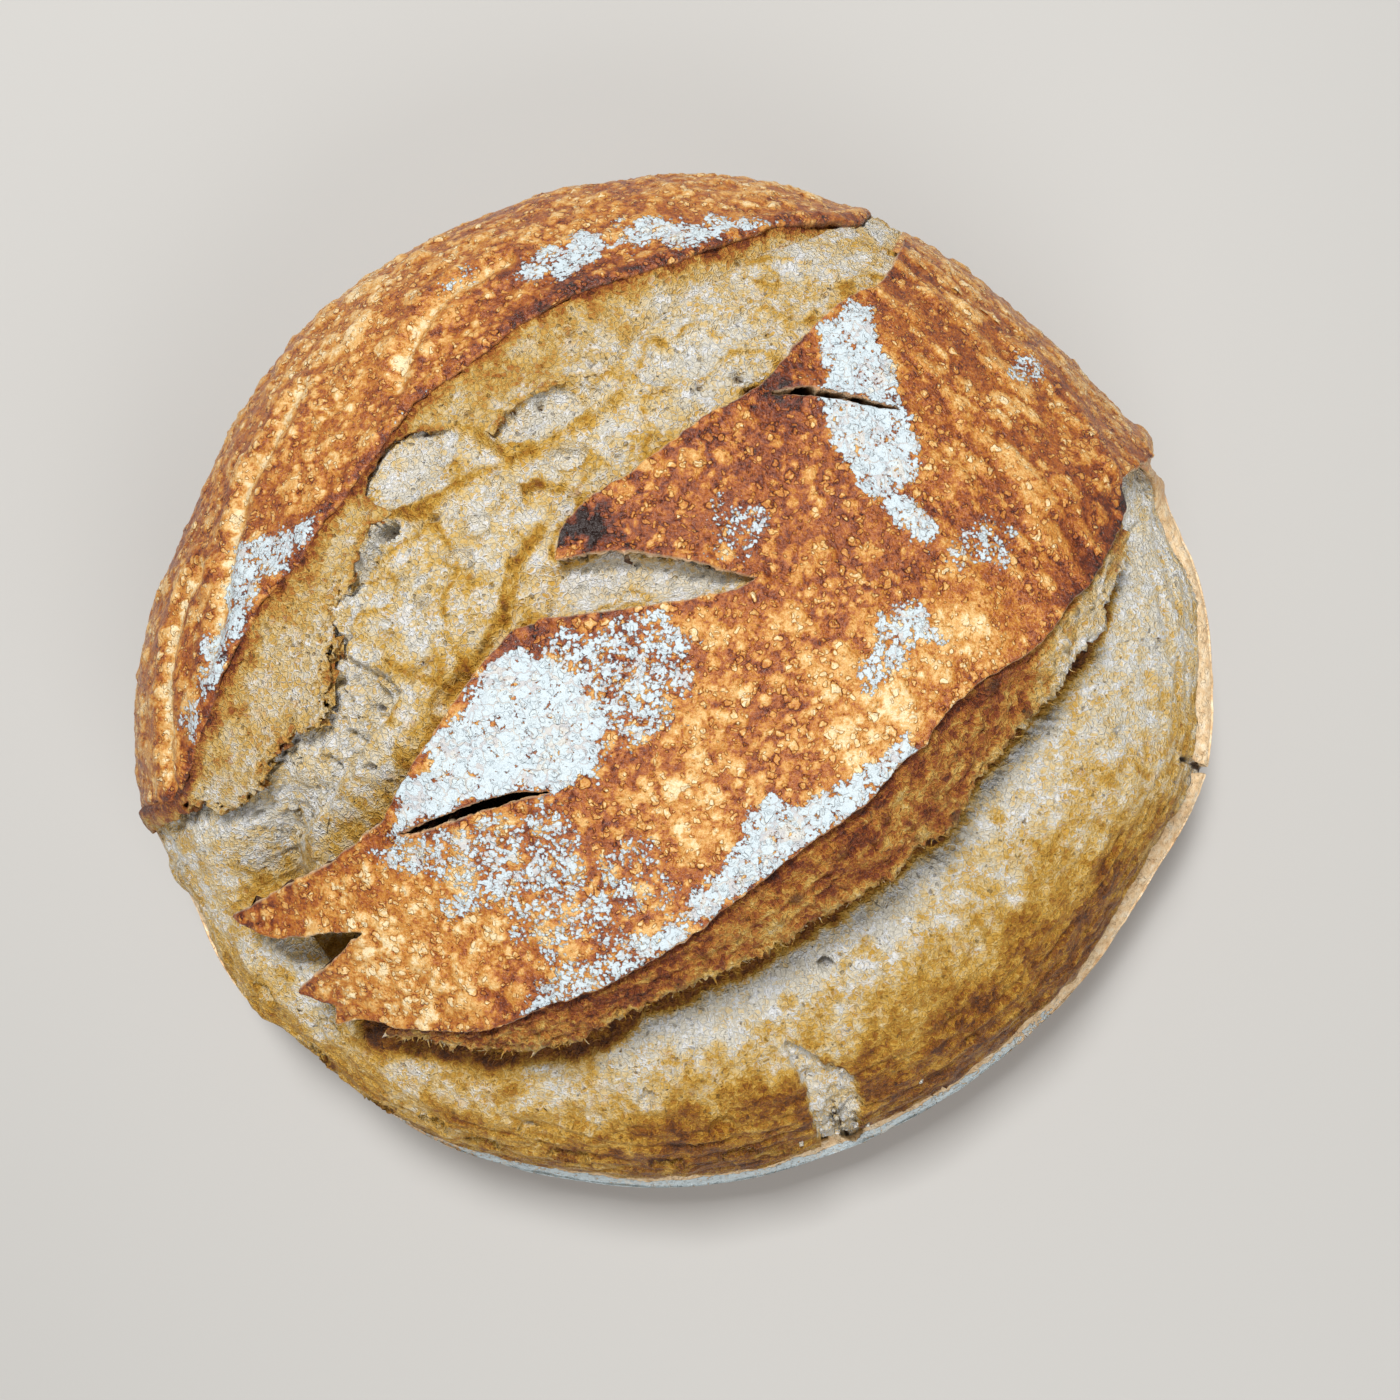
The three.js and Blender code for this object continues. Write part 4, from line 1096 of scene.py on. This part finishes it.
def crescent():
    angles = np.arange(*CRESCENT_ANGLES, math.degrees(CRESCENT_SPACING / CRESCENT_RADIUS))
    travel, angle = np.meshgrid(even_travel(0.42, 2.04, CRESCENT_SPACING), angles, indexing="ij")
    points = shell(angle, travel)
    x, y = points[..., 0], points[..., 1]
    normal, _, _ = outward(points)
    height, dome = crust_relief(points)
    reach = inside(x, y, CRESCENT) + 0.3 * lumps(points, 6, 201, 2)
    reach = np.where(travel > 0.98, np.maximum(reach, 5.0), reach)
    edge_bake = 0.13 * np.exp(-(((reach - 0.5) / 1.2) ** 2)) + 0.09 * np.exp(-((reach / 7) ** 2))
    bake = side_bake(points) + 0.04 + edge_bake + blobs(x, y, CRESCENT_TONES)
    height = height * (1 - 0.75 * smooth(1.7, 2.0, travel)) + 0.7 * np.exp(-(((reach - 1.5) / 1.8) ** 2))
    for line in CREASES:
        gap = line_distance(x, y, curve(line)) + 0.5 * noise(points, 5, 202)
        height = height - 0.9 * np.exp(-((gap / 1.3) ** 2)) + 0.6 * np.exp(-(((gap - 3.2) / 1.8) ** 2))
        bake = bake - 0.34 * np.exp(-((gap / 1.4) ** 2)) + 0.06 * np.exp(-(((gap - 3.6) / 1.8) ** 2))
    points = points + normal * height[..., None]
    points[..., 2] = np.maximum(points[..., 2], FLOOR_GAP)
    flour = dusted(points, CRESCENT_FLOUR, 205)
    values = {"bake": bake, "dome": dome, "flour": flour, "torn": 0.0, "depth": 0.0}
    mesh_data = sheet(points, reach, values, LIP_WALL, fray=0.3, seed=206, shade=crust_wall(0.15))
    piece("crescent_crust", mesh_data, CRUST)


crescent()

# ---------------------------------------------------------------------------------------------------------
# Crust plate. The crust on top that broke loose and lifted, from the tongues at its left end to the right
# shoulder, with the ear curled up along its lower edge and three leaf cuts. Blistered wheat crust, floured.
PLATE_SPACING = 0.44
PLATE_FLOUR = [
    ([(27, 67.7), (34, 74.8), (37.3, 73), (38, 63), (43.8, 50.6), (45, 44), (42, 36), (46.4, 30.7),
      (46, 25.5), (37, 31.4), (30, 43.3), (26, 50)], 0.92),
    ([(-52.4, -26.4), (-48.3, -17.2), (-43.5, -9.9), (-38, -1.9), (-32.5, 5.2), (-28, 8.7), (-20, 5),
      (-13, -4), (-9.4, -12.5), (-20, -17.8), (-28.3, -18.4), (-36, -20.8)], 0.97),
    ([(-26, 9), (-12.9, 12.2), (2.9, 13.9), (4.7, 8.6), (1.2, -5.4), (-9.4, -12.5), (-16, 0)], 0.76),
    ([(-44.3, -39), (-23.8, -29.5), (-13, -28.5), (-16.7, -37.6), (-27.5, -35.9), (-40.8, -42.8)], 0.8),
    ([(-57.4, -29.3), (-20, -20), (-13, -28.5), (-44.3, -37)], 0.74),
    ([(-16, -42), (-26, -38), (-12, -36), (-6, -48), (-14, -50)], 0.7),
    ([(-6, -46), (3, -37), (12, -27), (13, -21), (22, -19.5), (31, -15.5), (41.5, -8), (45, -11),
      (34.8, -20), (25.2, -27), (14.3, -35.5), (5.2, -43), (-0.3, -47)], 0.93),
    ([(-28, -59), (-19, -49), (-5.2, -46), (-0.3, -47), (-11.4, -53.5), (-20.8, -57.5)], 0.8),
    ([(33, 5), (36, 14), (45, 15.5), (48, 9), (40.3, 4), (34.5, 0)], 0.8),
    ([(49, 23), (52, 31), (64, 30), (61, 22)], 0.72),
    ([(4, 23), (8, 34), (17, 31), (16, 22)], 0.68),
    ([(64, 60), (66, 66), (72, 64), (70, 58)], 0.72),
    ([(-34, -30), (-22, -31), (-12, -42), (-22, -50), (-30, -44)], 0.7),
    ([(-16, -28), (-4, -26), (2, -36), (-10, -44)], 0.64),
]
PLATE_TONES = [  # middle, radius, darker or paler
    (-15.5, 28.4, 4.6, 0.8), (-16.6, 25.4, 1.8, -0.4), (2, 36, 14, 0.1), (14, 48, 12, 0.1),
    (24, 58, 8, 0.14), (30, 22, 18, 0.06), (86, 34, 10, 0.2), (76, 18, 7, 0.18), (52, 2, 6, 0.16),
    (60, 34, 18, 0.06), (48, 52, 14, 0.03), (70, 62, 20, 0.02), (51, 9, 9, -0.3), (35, -6, 12, -0.16),
    (-58, -50, 16, -0.2), (-38, -52, 14, -0.12), (2, -21, 6, -0.22), (-30, -60, 10, 0.14),
    (-80, -44, 6, 0.1), (10, -10, 18, 0.02), (-12, -46, 7, 0.14), (-25, 9, 5, 0.25), (-13, 10, 8, 0.15),
    (68, 16, 8, -0.05),
]
PLATE_FOLD = [(70, 66), (73.8, 62.2), (81.6, 48.7), (84, 42)]
PLATE_WALL = [(0.3, 0.3), (0.35, 0.9), (0.1, 1.7), (-0.3, 3.0), (-0.6, 5.0), (-0.8, 7.0)]


def crust_plate():
    x, y = even_grid(-90, 112, -67, 106, PLATE_SPACING)
    angle, radius = from_middle(x, y)
    share = radius / (at_angle(OUTLINE, 1, angle) + BULGE)
    points = shell(angle, np.arcsin(np.clip(share, 0, 0.999)) * 2 / math.pi)
    points[..., 0], points[..., 1] = x, y
    normal, _, _ = outward(points)
    drawn = smooth(-12, 8, x - 54 + 0.4 * (y - 20) + 6 * noise(points, 14, 307))
    height, dome = (mix(*both, drawn) for both in zip(crust_relief(points), crust_relief(points, 2.4)))
    reach = inside(x, y, PLATE) + 0.35 * lumps(points, 3.0, 301, 2)
    for upper, lower, _, _ in LEAF_CUTS:
        cut = inside(x, y, np.array(upper + lower)) - 0.14 * lumps(points, 1.6, 302, 2)
        reach = np.minimum(reach, -cut)
    edge = np.exp(-((np.clip(reach, 0, 99) / 1.6) ** 2))
    reach = np.minimum(reach, (0.94 - share) * 100)
    height = height + 0.5 * edge
    bake = 0.42 + blobs(x, y, PLATE_TONES) + 0.1 * edge + 0.1 * lumps(points, 20, 303, 2)
    fold = line_distance(x, y, curve(PLATE_FOLD))
    height = height + 0.8 * np.exp(-((fold / 2.5) ** 2))
    points = points + normal * height[..., None]
    flour = dusted(points, PLATE_FLOUR, 305)
    values = {"bake": bake, "dome": dome, "flour": flour, "torn": 0.0, "depth": 0.0}
    mesh_data = sheet(points, reach, values, PLATE_WALL, fray=0.5, seed=306, shade=crust_wall(1.0))
    piece("crust_plate", mesh_data, CRUST)


crust_plate()

# ---------------------------------------------------------------------------------------------------------
# Torn strip under the ear. The face along which the plate ripped off the crumb: orange-brown where the heat
# reached it, tan and full of pits lower down, and frayed along its hanging edge. Crumb, baked hard.
STRIP_STATIONS = 470
STRIP_STEP = 0.42  # a little over the length from one station to the next
STRIP_ROWS = 74
STRIP_PITS = [(4.2, 1.2, 403), (2.4, 0.8, 413)]  # spacing, depth, seed
CORNER_SHARES = [0, 0.16, 0.3, 0.46, 0.5, 0.56, 0.7, 0.86, 1.0]  # how far down the face each corner lies
STRIP_TONES = [
    (50, -12, 12, 0.06), (60, -4, 8, 0.14), (20, -42, 14, 0.1), (0, -52, 10, 0.12), (34, -32, 8, 0.16),
    (50, -26, 8, 0.1), (80, 14, 12, -0.34), (-14, -58, 12, 0.16), (-40, -64, 14, 0.12),
    (72, 2, 8, -0.16),
]


def along_line(points, count):
    """Points at even distances along a smooth line."""
    line = curve(points, 0.8)
    length = np.concatenate([[0], np.cumsum(np.linalg.norm(np.diff(line, axis=0), axis=1))])
    at = np.linspace(0, length[-1], count)
    return np.stack([np.interp(at, length, line[:, 0]), np.interp(at, length, line[:, 1])], -1)


def dome_height(x, y):
    """Height of the crust's outside over a place."""
    angle, radius = from_middle(x, y)
    share = np.clip(radius / (at_angle(OUTLINE, 1, angle) + BULGE), 0, 0.999)
    return shell(angle, np.arcsin(share) * 2 / math.pi)[..., 2]


def torn_strip():
    lip = along_line(EAR_LIP[4:25], STRIP_STATIONS)
    edge = along_line(STRIP_EDGE, STRIP_STATIONS)
    away = edge - lip
    width = np.linalg.norm(away, axis=1)
    away = away / width[:, None]
    top = dome_height(lip[:, 0], lip[:, 1])
    hang = mix(top - 4, dome_height(edge[:, 0], edge[:, 1]) - 4, 0.9)
    zero = np.zeros(STRIP_STATIONS)
    profile = [
        (zero - 7, top - 2.2), (zero - 0.6, top - 1.6), (0.5 * width, mix(top - 1.8, hang, 0.42)),
        (width, hang), (width + 0.2, hang - 0.9), (width - 1.0, hang - 2.6), (0.4 * width - 2, hang - 4.5),
        (zero - 3, top - PLATE_DEPTH), (zero - 8, top - PLATE_DEPTH - 1),
    ]
    across = np.linspace(0, 1, STRIP_ROWS)
    out, up = (
        np.stack([np.interp(across, CORNER_SHARES, row) for row in np.stack(column, -1)])
        for column in zip(*profile)
    )
    points = np.concatenate([lip[:, None, :] + away[:, None, :] * out[..., None], up[..., None]], -1)
    points = points[:, ::-1]
    across = across[::-1]
    normal, _, _ = outward(points)
    hanging = np.exp(-(((across - 0.48) / 0.05) ** 2))[None, :]
    shown = smooth(0.1, 0.2, across)[None, :] * (1 - smooth(0.75, 0.9, across))[None, :]
    length = np.broadcast_to(np.arange(STRIP_STATIONS)[:, None] * STRIP_STEP, points.shape[:2])
    ribbons = np.stack([length / 5, out[:, ::-1] * 1.1, up[:, ::-1] * 0.8], -1)
    streaks = lumps(ribbons, 1.5, 404, 2)
    rough = 0.5 * lumps(points, 5, 401, 3) + 0.4 * lumps(points, (2.0, 2.0, 1.2), 402, 2) + 0.5 * streaks
    pits = np.zeros(rough.shape)
    for spacing, depth, seed in STRIP_PITS:
        distance, own = bubbles(points, spacing, seed)
        reach = 0.22 + 0.25 * own[..., 0]
        hole = np.sqrt(np.clip(1 - (distance / reach) ** 2, 0, 1)) * (own[..., 1] < 0.5)
        rough = rough - depth * hole
        # Painted shade: the pits are darkened in colour through the pit value.
        pits = np.maximum(pits, 0.6 * hole * depth)
    points = points + normal * (rough * shown)[..., None]
    fringe = 1.6 * np.abs(lumps(points, (1.5, 1.5, 1.5), 421, 2)) + 0.8 * lumps(points, 6, 423, 1)
    points[..., :2] += away[:, None, :] * (hanging * fringe)[..., None]
    x, y = points[..., 0], points[..., 1]
    bake = 0.53 + blobs(x, y, STRIP_TONES) + 0.12 * lumps(points, 5, 431, 3) + 0.16 * streaks
    # Painted shadow: a darker line along the strip just under the lip of the ear.
    bake = bake - 0.14 * hanging + 0.2 * np.exp(-(((across - 0.19) / 0.05) ** 2))[None, :]
    values = {"bake": np.clip(bake, 0, 1), "pit": np.clip(pits, 0, 1), **fibre_lines(points, 1)}
    piece("torn_strip", sheet(points, np.ones(x.shape), values), DRIED)
    row = int(np.argmax(hanging[0]))
    return points[:, row], away


FRINGE, FRINGE_OUT = torn_strip()

# ---------------------------------------------------------------------------------------------------------
# Strands and crumbs. Fine threads of torn gluten that hang from the strip's frayed edge and from the torn
# skin, and loose crumbs in the tears, by the tongues and by the crack in the rim. Dry crumb.
STRAND_SEED = 7
STRAND_SIDES = 4
STRAND_RINGS = 6
FRINGE_STRANDS = 300
SKIN_STRANDS = 150
BOX_FACES = [(0, 1, 3, 2), (4, 6, 7, 5), (0, 4, 5, 1), (2, 3, 7, 6), (0, 2, 6, 4), (1, 5, 7, 3)]
CRUMB_SPOTS = [  # middle, spread and number of loose crumbs
    (34, -90, 4, 22), (41, -100, 3, 14), (49.5, -80, 0.5, 2), (32.6, -75.3, 0.6, 2),
    (-60, -49, 2.5, 14), (-74, -24, 6, 8),
]


def strand(start, heading, length, thick, draw):
    """Points and faces of a thin thread that bends and tapers from its start."""
    bend = draw.normal(0, 0.5, 3)
    turn = np.linspace(0, 2 * math.pi, STRAND_SIDES, endpoint=False)
    place, points = np.array(start, float), []
    for ring in range(STRAND_RINGS):
        share = ring / (STRAND_RINGS - 1)
        heading = heading + bend * 0.35
        heading = heading / np.linalg.norm(heading)
        side = np.cross(heading, (0.3, 0.2, 1))
        side /= np.linalg.norm(side)
        up = np.cross(side, heading)
        width = thick * (1 - 0.8 * share)
        points.append(place + width * (np.cos(turn)[:, None] * side + np.sin(turn)[:, None] * up))
        place = place + heading * length / STRAND_RINGS
    grid = np.arange(STRAND_RINGS * STRAND_SIDES).reshape(STRAND_RINGS, STRAND_SIDES)
    beside = np.roll(grid, -1, axis=1)
    faces = np.stack([grid[:-1], beside[:-1], beside[1:], grid[1:]], -1).reshape(-1, 4)
    return np.concatenate(points), faces


def loose_crumb(middle, size, draw):
    """Points and faces of a rough crumb: a box with its corners pushed about."""
    corners = np.array(list(itertools.product((-1, 1), repeat=3)), float)
    return middle + corners * size * draw.uniform(0.5, 1.1, (8, 3)), np.array(BOX_FACES)


def strands_and_crumbs():
    draw = np.random.default_rng(STRAND_SEED)
    parts, bakes = [], []
    for k in draw.integers(6, len(FRINGE) - 6, FRINGE_STRANDS):
        out = np.array([*FRINGE_OUT[k], -0.5]) + draw.normal(0, 0.5, 3)
        start = FRINGE[k] - 0.5 * np.array([*FRINGE_OUT[k], 0]) - (0, 0, draw.uniform(0, 1.5))
        parts.append(strand(start, out, draw.uniform(0.8, 3.0), draw.uniform(0.14, 0.32), draw))
        bakes.append(draw.uniform(0.25, 0.6))
    line = curve(SKIN_EDGE[2:24], 0.5)
    for k in draw.integers(2, len(line) - 2, SKIN_STRANDS):
        x, y = line[k] + draw.normal(0, 0.4, 2)
        spot = np.array([[x, y, crumb_height(*from_middle(x, y))]])
        start = spot[0] + (0, 0, skin_surface(spot, np.array([9.0]))[0][0] - 0.6)
        slope = line[k + 1] - line[k - 1]
        out = np.array([-slope[1], slope[0], -0.6]) / np.linalg.norm(slope) + draw.normal(0, 0.5, 3)
        parts.append(strand(start, out, draw.uniform(0.8, 2.6), draw.uniform(0.14, 0.3), draw))
        bakes.append(draw.uniform(0.2, 0.5))
    for cx, cy, spread, number in CRUMB_SPOTS:
        for x, y in draw.normal((cx, cy), spread * 0.6, (number, 2)):
            angle, radius = from_middle(x, y)
            if radius < at_angle(OUTLINE, 1, angle) + 0.5:
                spot = np.array([[x, y, crumb_height(angle, radius)]])
                middle = spot[0] + (0, 0, crumb_relief(spot)[0][0] + 0.3)
                parts.append(loose_crumb(middle, draw.uniform(0.2, 0.6), draw))
                bakes.append(draw.uniform(0.0, 0.12))
    starts = np.cumsum([0] + [len(points) for points, _ in parts])
    points = np.concatenate([points for points, _ in parts])
    faces = np.concatenate([faces + start for (_, faces), start in zip(parts, starts)])
    bake = np.concatenate([np.full(len(part[0]), level) for part, level in zip(parts, bakes)])
    values = {"bake": bake, "pit": bake * 0, **fibre_lines(points, 0)}
    piece("strands_and_crumbs", (points, faces, values), CRUMB)


strands_and_crumbs()

# ---------------------------------------------------------------------------------------------------------
# Floor, lights and camera. A plain pale floor, a small soft light high over the back of the loaf, a larger
# and weaker one lower down in front of it on the right, and a camera straight above the loaf.
FLOOR_HALF = 2.5
FLOOR_COLOUR = (0.5, 0.49, 0.47, 1)
LIGHTS = [  # name, place, size, power, in metres and watts
    ("key_light", (-0.11, 0.35, 0.85), 0.2, 8.6), ("fill_light", (0.26, -0.66, 0.56), 0.6, 3.9),
]
AIM = Vector((0, 0, 0.04))
SKY_COLOUR = (1, 0.97, 0.92, 1)
SKY_STRENGTH = 0.22
CAMERA_PLACE = (4.7, -1.9, 360.0)
CAMERA_LENS = 38.96


def lay_floor():
    mesh = bpy.data.meshes.new("floor")
    corners = [(FLOOR_HALF * x, FLOOR_HALF * y, 0) for x, y in ((-1, -1), (1, -1), (1, 1), (-1, 1))]
    mesh.from_pydata(corners, [], [(0, 1, 2, 3)])
    floor = bpy.data.objects.new("floor", mesh)
    bpy.context.scene.collection.objects.link(floor)
    material, _, shader = new_material("pale_floor")
    shader.inputs["Base Color"].default_value = FLOOR_COLOUR
    shader.inputs["Roughness"].default_value = 0.8
    mesh.materials.append(material)


def light_room():
    for name, place, size, power in LIGHTS:
        data = bpy.data.lights.new(name, "AREA")
        data.size = size
        data.energy = power
        lamp = bpy.data.objects.new(name, data)
        lamp.location = place
        lamp.rotation_euler = (AIM - lamp.location).to_track_quat("-Z", "Y").to_euler()
        bpy.context.scene.collection.objects.link(lamp)

    world = bpy.data.worlds.new("studio")
    world.use_nodes = True
    sky = world.node_tree.nodes["Background"]
    sky.inputs["Color"].default_value = SKY_COLOUR
    sky.inputs["Strength"].default_value = SKY_STRENGTH
    bpy.context.scene.world = world


def place_camera():
    lens = bpy.data.cameras.new("camera")
    lens.lens = CAMERA_LENS
    camera = bpy.data.objects.new("camera", lens)
    camera.location = [length * UNIT for length in CAMERA_PLACE]
    bpy.context.scene.collection.objects.link(camera)
    bpy.context.scene.camera = camera
    bpy.context.scene.view_settings.view_transform = "Standard"


lay_floor()
light_room()
place_camera()
